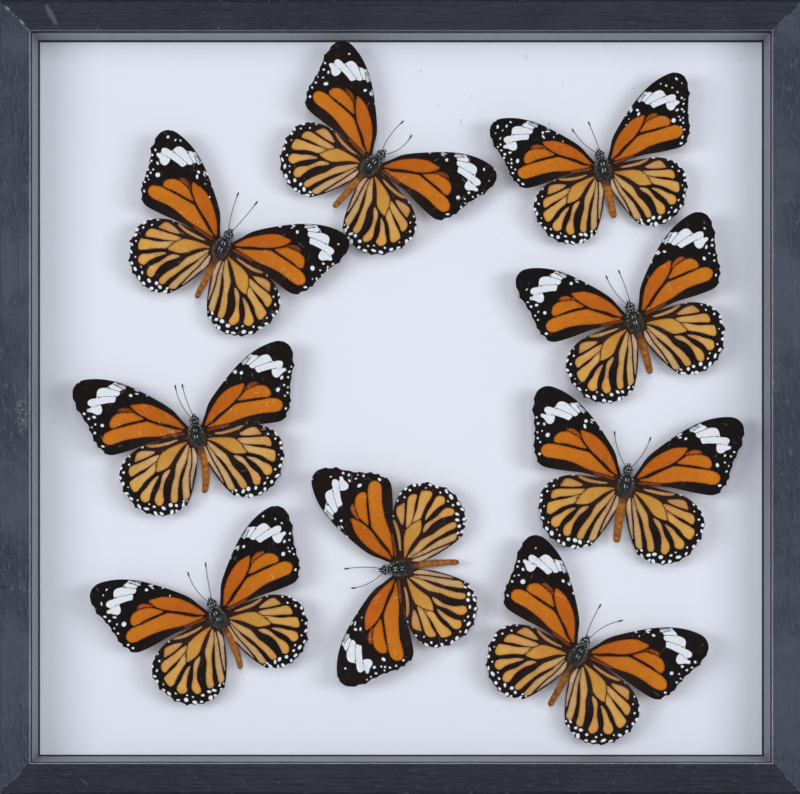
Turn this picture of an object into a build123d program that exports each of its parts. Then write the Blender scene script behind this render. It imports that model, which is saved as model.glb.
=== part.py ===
from build123d import *
from dataclasses import dataclass
import math
import os

os.makedirs("parts", exist_ok=True)

# Butterfly display case, in millimetres. The case stands upright: +Z up, X along the
# width, the glass faces -Y. The origin is under the middle of the bottom rail.

# ---------------------------------------------------------------- frame and layers
case_width = 306.2
case_height = 302.5
rail_wall = 8.6  # thickness of a rail beside its rebate
lip_width = 3.6  # how far the front lip reaches over the rebate
lip_thickness = 4.5
outer_round = 1.6  # a rail's outer front edge
inner_round = 0.5  # the lip's inner edge and the rail's back edge

glass_thickness = 2.0
pane_gap = 0.5  # round the glass, board and back panel
spacer_depth = 14.0
gasket_depth = 4.0
gasket_bulge = 0.2  # past the spacers' inner faces
facing_thickness = 0.3
board_thickness = 5.0
panel_thickness = 3.2

# ---------------------------------------------------------------- corner V-nails
nail_thickness = 0.6
nail_depth = 10.0
nail_inset = 3.5  # outer corner to the V's point, along the mitre
nail_leg = 4.4
nail_half_angle = 34.0

# ---------------------------------------------------------------- back hardware
button_round = 4.0  # radius of a turn button's pivot end
button_tip_round = 2.8
button_reach = 13.0  # pivot to the centre of the tip
button_thickness = 1.2
button_spacing = 150.0  # between the upper and the lower turn buttons
shank_radius = 1.25
shank_length = 9.0
shank_clearance = 0.08  # radial, a turn button on its screw
head_radius = 2.6
head_height = 1.5
head_edge = 0.6  # height of a screw head's straight edge
head_gap = 0.05  # under a pivot screw's head
recess_length = 2.8
recess_width = 0.6
recess_depth = 0.7

plate_length = 34.0
plate_width = 7.0
plate_thickness = 0.8
plate_screw_spacing = 24.0
ring_wire = 0.8  # radius of the ring's wire
ring_clearance = 0.08  # radial, the ring's bar in its loop
ring_lift = 0.3  # wire above the plate
ring_half_width = 6.5
ring_corner = 1.8
ring_side = 4.5  # bar to the start of the bow
loop_wall = 0.8
loop_length = 7.0

bumper_radius = 3.5
bumper_tip_radius = 3.0
bumper_height = 4.0
bumper_round = 0.5
bumper_inset = 26.0  # outer corner to a bumper, along the top and bottom rails

# ---------------------------------------------------------------- specimens
wing_thickness = 0.3
wing_height = 7.0  # hindwing root above the board's facing
wing_step = 0.45  # forewing above hindwing
wing_rise = 9.0  # degrees that the wings rise towards their tips
wing_scallop = 0.25  # depth of the hollows along a wing's margin
fore_root_x = 3.2
hind_root_x = 3.1
hind_root_y = -3.4
body_drop = 0.6  # middle of the thorax below the hindwing roots
body_sides = 10
body_flatness = 0.9  # height of a body section, of its width
head_reach = 3.9  # middle of the head, ahead of the forewing roots
thorax_y = -2.6  # the thorax's fullest section, where the pin goes in
thorax_width = 3.0  # half width there
waist_y = -6.2
abdomen_segments = 7
segment_groove = 0.1
antenna_radius = 0.17
club_radius = 0.36
antenna_sides = 6
antenna_side = 0.45  # an antenna's foot from the middle of the head
antenna_ahead = 0.4
antenna_foot = 0.9  # above the middle of the head
antenna_rise = 1.5
pin_radius = 0.22
pin_in_board = 3.5
pin_in_body = 1.5


@dataclass
class Specimen:
    """Where one butterfly is pinned and how it is spread."""

    x: float  # forewing roots, from the middle of the case
    z: float
    heading: float  # degrees clockwise from straight up
    size: float  # of the wings, against the outlines below
    length: float  # middle of the head to the end of the abdomen
    girth: float  # half width of the abdomen's fullest segment
    bow: float  # how far the abdomen bows to the right
    fore_angles: tuple  # left and right, degrees ahead of square to the body
    hind_angles: tuple  # left and right, degrees behind square to the body
    antennae: tuple  # left and right: length, degrees clockwise from the heading, bow


specimens = [
    Specimen(
        -68.5, 59.9, 27, 1.00, 27.6, 1.4, 0.0, (36.5, 27.5), (46.0, 53.5),
        ((16.6, -13, 0.5), (17.0, 15, 0.2)),
    ),
    Specimen(
        -10.3, 91.4, 42, 0.98, 27.4, 1.45, 0.0, (33.5, 36.0), (48.0, 51.0),
        ((15.5, -7.5, 1.0), (14.0, 16, 1.9)),
    ),
    Specimen(
        77.8, 90.4, -13, 0.935, 25.0, 1.65, -0.1, (32.5, 37.0), (48.5, 48.5),
        ((14.7, -35, 1.0), (13.4, -7, 0.1)),
    ),
    Specimen(
        89.8, 31.6, -17, 0.985, 27.0, 1.6, 0.4, (37.0, 40.5), (50.0, 45.0),
        ((15.4, -21.5, 1.0), (14.9, -1.5, 0.3)),
    ),
    Specimen(
        -79.5, -12.4, -8, 1.01, 28.4, 1.6, 1.8, (28.5, 36.0), (53.5, 43.5),
        ((15.4, -20, 1.3), (14.7, -10, -0.6)),
    ),
    Specimen(
        -71.7, -83.1, -24, 1.00, 27.6, 1.45, 1.3, (35.3, 35.5), (50.0, 48.0),
        ((15.4, -12.5, 1.3), (16.2, 16, -0.2)),
    ),
    Specimen(
        -2.2, -66.1, -96, 1.00, 28.6, 1.35, 0.6, (31.5, 35.0), (50.0, 46.0),
        ((15.0, -22, 1.4), (15.9, 7.5, 0.7)),
    ),
    Specimen(
        87.3, -31.6, 9, 1.01, 28.4, 1.75, -0.4, (38.5, 37.0), (46.5, 50.0),
        ((16.0, -29, 1.1), (15.4, 25, 1.1)),
    ),
    Specimen(
        69.5, -97.6, 29, 1.005, 28.6, 1.45, 0.0, (39.3, 33.5), (45.5, 50.0),
        ((15.7, -7, 0.5), (16.6, 31, -1.5)),
    ),
]

# Wing outlines: x runs out from the root, y towards the head. Each starts and ends
# inside the thorax. A margin's points are the vein ends between its hollows.
fore_costa = [
    (-2.6, 0.2), (3.6, 3.3), (10.3, 6.2), (25.6, 8.2),
    (36.0, 7.4), (44.0, 4.1), (46.2, 0.0), (45.0, -4.0),
]
fore_margin = [
    (45.0, -4.0), (42.6, -7.3), (38.2, -10.2), (35.2, -12.9),
    (32.2, -16.2), (29.9, -17.9), (26.6, -19.2),
]
fore_rear = [(26.6, -19.2), (23.2, -18.5), (17.7, -15.0), (10.2, -9.6), (0.0, -3.0), (-2.4, -1.6)]
hind_costa = [(-3.5, 0.8), (4.5, 8.4), (11.5, 14.9), (16.9, 17.4), (21.0, 17.9), (26.0, 16.4)]
hind_margin = [
    (26.0, 16.4), (29.7, 12.7), (31.1, 9.2), (32.7, 5.8), (32.8, 0.6),
    (31.9, -2.3), (30.8, -5.3), (27.9, -8.8), (25.4, -10.1), (22.4, -11.4),
]
hind_inner = [(22.4, -11.4), (17.2, -10.7), (10.2, -8.7), (4.9, -6.4), (0.0, -3.9), (-0.8, -2.6)]

# Head and thorax from the nose back, as (y, half width).
fore_body = [
    (5.6, 0.7), (5.0, 1.35), (4.0, 1.75), (3.0, 1.55), (2.4, 1.2),
    (1.6, 2.2), (0.0, 2.85), (thorax_y, thorax_width), (-4.8, 2.3), (waist_y, 1.15),
]
abdomen_taper = 0.66  # last segment's width, of the fullest one's
abdomen_end = 0.4  # width of the very end, of the fullest segment's
abdomen_front = 0.85  # width of the first segment, likewise

# ---------------------------------------------------------------- derived places
rail_face = rail_wall + lip_width
gasket_width = lip_width + gasket_bulge
rail_depth = (
    lip_thickness + glass_thickness + spacer_depth + gasket_depth
    + facing_thickness + board_thickness + panel_thickness
)
front_y = -(rail_depth + bumper_height) / 2
glass_y = front_y + lip_thickness
spacer_y = glass_y + glass_thickness
gasket_y = spacer_y + spacer_depth
facing_y = gasket_y + gasket_depth
board_y = facing_y + facing_thickness
panel_y = board_y + board_thickness
back_y = panel_y + panel_thickness
middle_z = case_height / 2
rebate_width = case_width - 2 * rail_wall
rebate_height = case_height - 2 * rail_wall
pane_width = rebate_width - 2 * pane_gap
pane_height = rebate_height - 2 * pane_gap

backwards = Vector(0, 1, 0)


def upright(y):
    """The plane across the case at depth y. Its normal points to the front."""
    return Plane.XZ.offset(-y)


def rear_seat(x, y, z):
    """A plane to stand hardware on, its normal pointing to the back."""
    return Plane(origin=(x, y, z), x_dir=(-1, 0, 0), z_dir=(0, 1, 0))


def save(piece, name):
    """Label a finished piece and write it out."""
    piece.part.label = name
    export_step(piece.part, f"parts/{name}.step")


# ---------------------------------------------------------------- corner V-nails
with BuildPart() as corner_nails:
    leg_run = nail_leg * math.cos(math.radians(nail_half_angle))
    leg_out = nail_leg * math.sin(math.radians(nail_half_angle))
    leg_wall = nail_thickness / math.sin(math.radians(nail_half_angle))
    for side in (-1, 1):
        for height, rise in ((0, 1), (case_height, -1)):
            corner = Plane(
                origin=(side * case_width / 2, back_y, height),
                x_dir=(-side, 0, rise),
                z_dir=-backwards,
            )
            with BuildSketch(corner):
                with BuildLine():
                    Polyline(
                        (nail_inset, 0),
                        (nail_inset + leg_run, leg_out),
                        (nail_inset + leg_run + leg_wall, leg_out),
                        (nail_inset + leg_wall, 0),
                        (nail_inset + leg_run + leg_wall, -leg_out),
                        (nail_inset + leg_run, -leg_out),
                        close=True,
                    )
                make_face()
            extrude(amount=nail_depth)
save(corner_nails, "corner_nails")


# ---------------------------------------------------------------- screws
def pan_screw(seat):
    """A pan-head screw whose head stands on the plane seat."""
    with BuildPart() as screw:
        with BuildSketch(Plane(origin=seat.origin, x_dir=seat.x_dir, z_dir=-seat.y_dir)):
            with BuildLine():
                ThreePointArc(
                    (0, head_height),
                    (head_radius * 0.6, head_height * 0.85),
                    (head_radius, head_edge),
                )
                Polyline(
                    (head_radius, head_edge),
                    (head_radius, 0),
                    (shank_radius, 0),
                    (shank_radius, shank_radius - shank_length),
                    (0, -shank_length),
                    (0, head_height),
                )
            make_face()
        revolve(axis=Axis(seat.origin, seat.z_dir))
        with BuildSketch(seat.offset(head_height)):
            Rectangle(recess_length, recess_width)
            Rectangle(recess_width, recess_length)
        extrude(amount=-recess_depth, mode=Mode.SUBTRACT)
    return screw.part


button_places = [
    (side, middle_z + level * button_spacing / 2) for level in (1, -1) for side in (-1, 1)
]
pivot_x = case_width / 2 - rail_wall / 2

pivot_seat_y = back_y + button_thickness + head_gap
pivot_screws = [
    pan_screw(rear_seat(side * pivot_x, pivot_seat_y, height)) for side, height in button_places
]
with BuildPart() as turn_button_screws:
    add(pivot_screws)
save(turn_button_screws, "turn_button_screws")

hanger_z = case_height - rail_wall / 2
plate_screws = [
    pan_screw(rear_seat(side * plate_screw_spacing / 2, back_y + plate_thickness, hanger_z))
    for side in (-1, 1)
]
with BuildPart() as hanger_screws:
    add(plate_screws)
save(hanger_screws, "hanger_screws")

# ---------------------------------------------------------------- frame rails
# Each rail is its moulding drawn across it, run along the side and mitred at both
# ends. Screws and nails leave their own holes.
fasteners = [corner_nails, turn_button_screws, hanger_screws]
rails = {
    "rail_bottom": (Vector(0, front_y, 0), Vector(0, 0, 1), case_width),
    "rail_top": (Vector(0, front_y, case_height), Vector(0, 0, -1), case_width),
    "rail_left": (Vector(-case_width / 2, front_y, middle_z), Vector(1, 0, 0), case_height),
    "rail_right": (Vector(case_width / 2, front_y, middle_z), Vector(-1, 0, 0), case_height),
}
for name, (start, inwards, length) in rails.items():
    along = inwards.cross(backwards)
    with BuildPart() as rail:
        with BuildSketch(Plane(origin=start, x_dir=inwards, z_dir=along)) as moulding:
            with BuildLine():
                Polyline(
                    (0, 0),
                    (rail_face, 0),
                    (rail_face, lip_thickness),
                    (rail_wall, lip_thickness),
                    (rail_wall, rail_depth),
                    (0, rail_depth),
                    close=True,
                )
            make_face()
            front_corners = moulding.vertices().group_by(Axis.Y)[0].sort_by(Axis.X)
            back_corners = moulding.vertices().group_by(Axis.Y)[-1].sort_by(Axis.X)
            fillet(front_corners[0], outer_round)
            fillet([front_corners[-1], back_corners[0]], inner_round)
        extrude(amount=length / 2, both=True)
        for end in (-1, 1):
            corner = start + along * (end * length / 2)
            mitre = Plane(origin=corner, x_dir=backwards, z_dir=along * end + inwards)
            split(bisect_by=mitre, keep=Keep.BOTTOM)
        for fastener in fasteners:
            add(fastener.part, mode=Mode.SUBTRACT)
    save(rail, name)

# ---------------------------------------------------------------- glass and spacers
with BuildPart() as front_glass:
    with BuildSketch(upright(glass_y)):
        with Locations((0, middle_z)):
            Rectangle(pane_width, pane_height)
    extrude(amount=-glass_thickness)
save(front_glass, "front_glass")

# The spacers stand against the rails, flush with the lip, the upright ones between
# the level ones.
spacer_x = (rebate_width - lip_width) / 2
spacer_z = (rebate_height - lip_width) / 2
spacers = {
    "spacer_bottom": (0, middle_z - spacer_z, rebate_width, lip_width),
    "spacer_top": (0, middle_z + spacer_z, rebate_width, lip_width),
    "spacer_left": (-spacer_x, middle_z, lip_width, rebate_height - 2 * lip_width),
    "spacer_right": (spacer_x, middle_z, lip_width, rebate_height - 2 * lip_width),
}
for name, (x, z, width, height) in spacers.items():
    with BuildPart() as spacer:
        with BuildSketch(upright(spacer_y)):
            with Locations((x, z)):
                Rectangle(width, height)
        extrude(amount=-spacer_depth)
    save(spacer, name)

with BuildPart() as board_gasket:
    with BuildSketch(upright(gasket_y)):
        with Locations((0, middle_z)):
            Rectangle(rebate_width, rebate_height)
            Rectangle(
                rebate_width - 2 * gasket_width,
                rebate_height - 2 * gasket_width,
                mode=Mode.SUBTRACT,
            )
    extrude(amount=-gasket_depth)
save(board_gasket, "board_gasket")


# ---------------------------------------------------------------- butterflies
def specimen_plane(specimen):
    """A butterfly's own plane on the facing: x to its right, y to its head."""
    turn = math.radians(specimen.heading)
    return Plane(
        origin=(specimen.x, facing_y, middle_z + specimen.z),
        x_dir=(math.cos(turn), 0, -math.sin(turn)),
        z_dir=(0, -1, 0),
    )


def body_sections(specimen):
    """Every section of the body, as (x, y, half width), from the nose to the tail."""
    tail_y = head_reach - specimen.length
    segment = (tail_y - waist_y) / abdomen_segments
    sections = list(fore_body)
    for i in range(abdomen_segments):
        share = (i + 0.5) / abdomen_segments
        full = specimen.girth * (1 - (1 - abdomen_taper) * share * share)
        if i == 0:
            full = specimen.girth * abdomen_front
        sections.append((waist_y + segment * (i + 0.3), full))
        sections.append((waist_y + segment * (i + 0.9), full - segment_groove))
    sections[-1] = (tail_y, specimen.girth * abdomen_end)
    placed = []
    for y, half_width in sections:
        share = max(0, (thorax_y - y) / (thorax_y - tail_y))
        placed.append((specimen.bow * 4 * share * (1 - share), y, half_width))
    return placed


def butterfly_body(frame, specimen):
    """Head, thorax and segmented abdomen, as one ruled loft of many-sided sections."""
    angles = [2 * math.pi * (i + 0.5) / body_sides for i in range(body_sides)]
    with BuildPart() as body:
        for x, y, half_width in body_sections(specimen):
            middle = frame.from_local_coords(Vector(x, y, wing_height - body_drop))
            with BuildSketch(Plane(origin=middle, x_dir=frame.x_dir, z_dir=frame.y_dir)):
                with BuildLine():
                    points = [
                        (half_width * math.cos(a), half_width * body_flatness * math.sin(a))
                        for a in angles
                    ]
                    Polyline(*points, close=True)
                make_face()
        loft(ruled=True)
    return body.part


def wing_plane(frame, side, root, angle):
    """A wing's plane at its root: x out along the wing, tilted up by the rise."""
    rise = math.radians(wing_rise)
    outwards = frame.x_dir * (side * math.cos(rise)) + frame.z_dir * math.sin(rise)
    turn = math.radians(angle)
    return Plane(
        origin=frame.from_local_coords(Vector(side * root[0], root[1], root[2])),
        x_dir=outwards * math.cos(turn) + frame.y_dir * math.sin(turn),
        z_dir=outwards.cross(frame.y_dir),
    )


def wing(plane, size, leading, margin, trailing):
    """One flat wing: two smooth edges joined by a margin of small hollows."""
    with BuildPart() as blade:
        with BuildSketch(plane):
            with BuildLine():
                Spline(*[(x * size, y * size) for x, y in leading])
                for (x0, y0), (x1, y1) in zip(margin, margin[1:]):
                    chord = math.hypot(x1 - x0, y1 - y0)
                    hollow_x = (x0 + x1) / 2 + (y1 - y0) / chord * wing_scallop
                    hollow_y = (y0 + y1) / 2 - (x1 - x0) / chord * wing_scallop
                    ThreePointArc(
                        (x0 * size, y0 * size),
                        (hollow_x * size, hollow_y * size),
                        (x1 * size, y1 * size),
                    )
                Spline(*[(x * size, y * size) for x, y in trailing])
                Line(
                    (trailing[-1][0] * size, trailing[-1][1] * size),
                    (leading[0][0] * size, leading[0][1] * size),
                )
            make_face()
        extrude(amount=wing_thickness / 2, both=True)
    return blade.part


def antenna(frame, side, length, angle, bow):
    """One clubbed antenna, bowed outwards from the head."""
    turn = math.radians(angle)
    height = wing_height - body_drop + antenna_foot
    base = Vector(side * antenna_side, head_reach + antenna_ahead, height)
    tip = Vector(length * math.sin(turn), head_reach + length * math.cos(turn), height + antenna_rise)
    outwards = Vector(math.cos(turn), -math.sin(turn), 0) * side
    girths = [
        (0.0, antenna_radius), (0.3, antenna_radius), (0.6, antenna_radius),
        (0.85, antenna_radius), (0.93, club_radius), (1.0, club_radius * 0.8),
    ]
    with BuildPart() as feeler:
        with BuildLine() as route:
            ThreePointArc(
                frame.from_local_coords(base),
                frame.from_local_coords((base + tip) / 2 + outwards * bow),
                frame.from_local_coords(tip),
            )
        path = route.edge()
        for share, radius in girths:
            with BuildSketch(Plane(origin=path @ share, x_dir=frame.z_dir, z_dir=path % share)):
                RegularPolygon(radius, antenna_sides)
        loft(ruled=True)
    return feeler.part


pin_top = wing_height - body_drop - thorax_width * body_flatness + pin_in_body
with BuildPart() as insect_pins:
    for specimen in specimens:
        frame = specimen_plane(specimen)
        foot = frame.from_local_coords(Vector(0, thorax_y, -facing_thickness - pin_in_board))
        with BuildSketch(Plane(origin=foot, z_dir=frame.z_dir)):
            Circle(pin_radius)
        extrude(amount=pin_in_board + facing_thickness + pin_top)
save(insect_pins, "insect_pins")

for number, specimen in enumerate(specimens, start=1):
    frame = specimen_plane(specimen)
    with BuildPart() as body:
        add(butterfly_body(frame, specimen))
        add(insect_pins.part, mode=Mode.SUBTRACT)
    save(body, f"butterfly_{number}_body")

    feelers = [
        antenna(frame, side, length, angle, bow)
        for side, (length, angle, bow) in zip((-1, 1), specimen.antennae)
    ]
    with BuildPart() as antennae:
        add(feelers)
        add(body.part, mode=Mode.SUBTRACT)
    save(antennae, f"butterfly_{number}_antennae")

    fore_root = (fore_root_x, 0, wing_height + wing_step)
    fore_pair = [
        wing(
            wing_plane(frame, side, fore_root, angle),
            specimen.size,
            fore_costa,
            fore_margin,
            fore_rear,
        )
        for side, angle in zip((-1, 1), specimen.fore_angles)
    ]
    with BuildPart() as forewings:
        add(fore_pair)
        add(body.part, mode=Mode.SUBTRACT)
    save(forewings, f"butterfly_{number}_forewings")

    hind_root = (hind_root_x, hind_root_y, wing_height)
    hind_pair = [
        wing(
            wing_plane(frame, side, hind_root, -angle),
            specimen.size,
            hind_costa,
            hind_margin,
            hind_inner,
        )
        for side, angle in zip((-1, 1), specimen.hind_angles)
    ]
    with BuildPart() as hindwings:
        add(hind_pair)
        add(body.part, mode=Mode.SUBTRACT)
    save(hindwings, f"butterfly_{number}_hindwings")

# ---------------------------------------------------------------- board and back
with BuildPart() as board_facing:
    with BuildSketch(upright(facing_y)):
        with Locations((0, middle_z)):
            Rectangle(pane_width, pane_height)
    extrude(amount=-facing_thickness)
    add(insect_pins.part, mode=Mode.SUBTRACT)
save(board_facing, "board_facing")

with BuildPart() as mount_board:
    with BuildSketch(upright(board_y)):
        with Locations((0, middle_z)):
            Rectangle(pane_width, pane_height)
    extrude(amount=-board_thickness)
    add(insect_pins.part, mode=Mode.SUBTRACT)
save(mount_board, "mount_board")

with BuildPart() as back_panel:
    with BuildSketch(upright(panel_y)):
        with Locations((0, middle_z)):
            Rectangle(pane_width, pane_height)
    extrude(amount=-panel_thickness)
save(back_panel, "back_panel")

# ---------------------------------------------------------------- turn buttons
# Each lies flat on a rail's back, pointing inwards over the back panel.
for number, (side, height) in enumerate(button_places, start=1):
    seat = rear_seat(side * pivot_x, back_y, height)
    with BuildPart() as turn_button:
        with BuildSketch(seat):
            Circle(button_round)
            with Locations((side * button_reach, 0)):
                Circle(button_tip_round)
            make_hull()
            Circle(shank_radius + shank_clearance, mode=Mode.SUBTRACT)
        extrude(amount=button_thickness)
    save(turn_button, f"turn_button_{number}")

# ---------------------------------------------------------------- hanger
bar_height = plate_thickness + ring_lift + ring_wire
bore_radius = ring_wire + ring_clearance
loop_radius = bore_radius + loop_wall
hanger_seat = rear_seat(0, back_y, hanger_z)
loop_plane = Plane(
    origin=hanger_seat.from_local_coords(Vector(0, 0, bar_height)),
    x_dir=(0, 0, 1),
    z_dir=(-1, 0, 0),
)
with BuildPart() as hanger_plate:
    with BuildSketch(hanger_seat):
        SlotOverall(plate_length, plate_width)
    extrude(amount=plate_thickness)
    with BuildSketch(loop_plane):
        Circle(loop_radius)
        with Locations((0, -bar_height / 2 + plate_thickness / 4)):
            Rectangle(2 * loop_radius, bar_height - plate_thickness / 2)
    extrude(amount=loop_length / 2, both=True)
    with BuildSketch(loop_plane):
        Circle(bore_radius)
    extrude(amount=loop_length / 2, both=True, mode=Mode.SUBTRACT)
    add(hanger_screws.part, mode=Mode.SUBTRACT)
save(hanger_plate, "hanger_plate")

ring_plane = Plane(
    origin=hanger_seat.from_local_coords(Vector(0, 0, bar_height)),
    x_dir=(1, 0, 0),
    z_dir=(0, -1, 0),
)
with BuildPart() as hanger_ring:
    with BuildLine(ring_plane) as wire_line:
        shoulder = ring_half_width - ring_corner
        Line((0, 0), (shoulder, 0))
        RadiusArc((shoulder, 0), (ring_half_width, -ring_corner), ring_corner)
        Line((ring_half_width, -ring_corner), (ring_half_width, -ring_side))
        RadiusArc((ring_half_width, -ring_side), (-ring_half_width, -ring_side), ring_half_width)
        Line((-ring_half_width, -ring_side), (-ring_half_width, -ring_corner))
        RadiusArc((-ring_half_width, -ring_corner), (-shoulder, 0), ring_corner)
        Line((-shoulder, 0), (0, 0))
    with BuildSketch(Plane(origin=ring_plane.origin, z_dir=(1, 0, 0))):
        Circle(ring_wire)
    sweep(path=wire_line.wires()[0])
save(hanger_ring, "hanger_ring")

# ---------------------------------------------------------------- wall bumpers
with BuildPart() as wall_bumpers:
    for side in (-1, 1):
        for height in (rail_wall / 2, case_height - rail_wall / 2):
            seat = rear_seat(side * (case_width / 2 - bumper_inset), back_y, height)
            with BuildSketch(seat):
                Circle(bumper_radius)
            with BuildSketch(seat.offset(bumper_height)):
                Circle(bumper_tip_radius)
            loft()
    rims = wall_bumpers.faces().group_by(Axis.Y)[-1].edges()
    fillet(rims, bumper_round)
save(wall_bumpers, "wall_bumpers")
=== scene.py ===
"""Looks of the butterfly display case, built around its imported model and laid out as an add-on."""
import math
import random

import bpy
import numpy as np
from bpy.props import FloatProperty, FloatVectorProperty, IntProperty, PointerProperty
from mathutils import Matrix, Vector, noise
from mathutils.geometry import delaunay_2d_cdt


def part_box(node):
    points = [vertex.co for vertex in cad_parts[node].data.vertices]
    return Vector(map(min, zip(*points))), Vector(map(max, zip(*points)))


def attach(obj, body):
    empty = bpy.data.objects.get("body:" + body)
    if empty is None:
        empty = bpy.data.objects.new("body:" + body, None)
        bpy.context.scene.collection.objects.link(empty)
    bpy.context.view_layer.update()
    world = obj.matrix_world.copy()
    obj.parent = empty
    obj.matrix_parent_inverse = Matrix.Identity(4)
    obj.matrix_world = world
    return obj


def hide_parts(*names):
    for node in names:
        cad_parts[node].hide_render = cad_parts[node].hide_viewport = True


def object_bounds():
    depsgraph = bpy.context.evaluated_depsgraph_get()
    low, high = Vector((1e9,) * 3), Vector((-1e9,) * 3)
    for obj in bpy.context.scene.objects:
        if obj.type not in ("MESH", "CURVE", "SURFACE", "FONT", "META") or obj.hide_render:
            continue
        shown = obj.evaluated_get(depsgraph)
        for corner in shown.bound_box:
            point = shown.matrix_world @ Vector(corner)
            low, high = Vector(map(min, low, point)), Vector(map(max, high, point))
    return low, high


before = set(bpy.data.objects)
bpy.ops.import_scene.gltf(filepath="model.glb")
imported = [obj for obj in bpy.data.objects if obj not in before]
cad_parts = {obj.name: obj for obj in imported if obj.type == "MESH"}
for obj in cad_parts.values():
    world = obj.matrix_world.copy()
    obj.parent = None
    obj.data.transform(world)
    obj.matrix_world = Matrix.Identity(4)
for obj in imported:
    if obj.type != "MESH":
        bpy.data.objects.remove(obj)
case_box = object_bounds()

bl_info = {
    "name": "Butterfly display case",
    "version": (1, 0, 0),
    "blender": (4, 5, 0),
    "location": "3D View > Sidebar > Display case",
    "description": "Paint, glass, lining and pinned specimens of a butterfly display case",
    "category": "Object",
}

MM = 0.001
CASE_LOW, CASE_HIGH = (Vector(corner) for corner in case_box)
CASE_HALF_WIDTH = CASE_HIGH.x
CASE_MIDDLE_Z = (CASE_LOW.z + CASE_HIGH.z) / 2
FACING_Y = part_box("board_facing")[0].y
RAIL_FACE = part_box("rail_bottom")[1].z  # height of a rail seen from the front


def srgb(red, green, blue):
    """A colour given in display values from 0 to 255, as light."""
    def light(value):
        value /= 255
        return value / 12.92 if value <= 0.04045 else ((value + 0.055) / 1.055) ** 2.4
    return (light(red), light(green), light(blue), 1.0)


# ---------------------------------------------------------------- specimens
# x and z of the forewing roots from the middle of the case, heading clockwise from straight
# up, size, head to tail, half width and sideways bow of the abdomen, wing angles left and
# right, antennae (length, angle, bow). Then the looks: how far out the white band sits, left
# and right, how pale the hindwing roots are, the share of the lesser spots, how worn the
# wings are, how brown their black is, how dark the abdomen is and how bright the small cell
# beyond the big ones of a forewing is.
SPECIMENS = [
    dict(x=-68.5, z=59.9, heading=27, size=1.00, length=27.6, girth=1.4, bow=0.0,
         fore=(36.5, 27.5), hind=(46.0, 53.5), antennae=((16.6, -13, 0.5), (17.0, 15, 0.2)),
         band=(0.4, 0.5), cream=0.5, extra=0.45, worn=0.8, brown=0.5, dusk=0.4, ember=0.3),
    dict(x=-10.3, z=91.4, heading=42, size=0.98, length=27.4, girth=1.45, bow=0.0,
         fore=(33.5, 36.0), hind=(48.0, 51.0), antennae=((15.5, -7.5, 1.0), (14.0, 16, 1.9)),
         band=(-0.3, 0.3), cream=0.5, extra=0.12, worn=0.5, brown=0.6, dusk=0.2, ember=0.35),
    dict(x=77.8, z=90.4, heading=-13, size=0.935, length=25.0, girth=1.65, bow=-0.1,
         fore=(32.5, 37.0), hind=(48.5, 48.5), antennae=((14.7, -35, 1.0), (13.4, -7, 0.1)),
         band=(-0.6, -2.0), cream=0.5, extra=1.0, worn=0.15, brown=0.1, dusk=0.1, ember=0.8),
    dict(x=89.8, z=31.6, heading=-17, size=0.985, length=27.0, girth=1.6, bow=0.4,
         fore=(37.0, 40.5), hind=(50.0, 45.0), antennae=((15.4, -21.5, 1.0), (14.9, -1.5, 0.3)),
         band=(-0.6, -0.3), cream=0.45, extra=0.1, worn=0.3, brown=0.15, dusk=0.55, ember=1.0),
    dict(x=-79.5, z=-12.4, heading=-8, size=1.01, length=28.4, girth=1.6, bow=1.8,
         fore=(28.5, 36.0), hind=(53.5, 43.5), antennae=((15.4, -20, 1.3), (14.7, -10, -0.6)),
         band=(-0.6, 0.0), cream=0.9, extra=0.1, worn=0.9, brown=0.25, dusk=0.15, ember=0.4),
    dict(x=-71.7, z=-83.1, heading=-24, size=1.00, length=27.6, girth=1.45, bow=1.3,
         fore=(35.3, 35.5), hind=(50.0, 48.0), antennae=((15.4, -12.5, 1.3), (16.2, 16, -0.2)),
         band=(-0.4, -0.4), cream=0.45, extra=0.3, worn=0.45, brown=0.1, dusk=0.1, ember=0.9),
    dict(x=-2.2, z=-66.1, heading=-96, size=1.00, length=28.6, girth=1.35, bow=0.6,
         fore=(31.5, 35.0), hind=(50.0, 46.0), antennae=((15.0, -22, 1.4), (15.9, 7.5, 0.7)),
         band=(-0.6, -0.4), cream=0.4, extra=0.15, worn=0.45, brown=0.8, dusk=0.15, ember=0.85),
    dict(x=87.3, z=-31.6, heading=9, size=1.01, length=28.4, girth=1.75, bow=-0.4,
         fore=(38.5, 37.0), hind=(46.5, 50.0), antennae=((16.0, -29, 1.1), (15.4, 25, 1.1)),
         band=(-0.5, -0.9), cream=0.15, extra=0.1, worn=0.3, brown=0.25, dusk=0.1, ember=0.95),
    dict(x=69.5, z=-97.6, heading=29, size=1.005, length=28.6, girth=1.45, bow=0.0,
         fore=(39.3, 33.5), hind=(45.5, 50.0), antennae=((15.7, -7, 0.5), (16.6, 31, -1.5)),
         band=(-0.4, -0.2), cream=0.4, extra=0.12, worn=0.35, brown=0.6, dusk=0.65, ember=0.45),
]

WING_RISE = 9.0  # degrees
FORE_ROOT = (3.2, 0.0, 7.45)  # beside, ahead and above the facing
HIND_ROOT = (3.1, -3.4, 7.0)
SCALLOP = 0.45
BODY_HEIGHT = 6.4  # middle of the thorax above the facing
BODY_FLATNESS = 0.9

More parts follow.
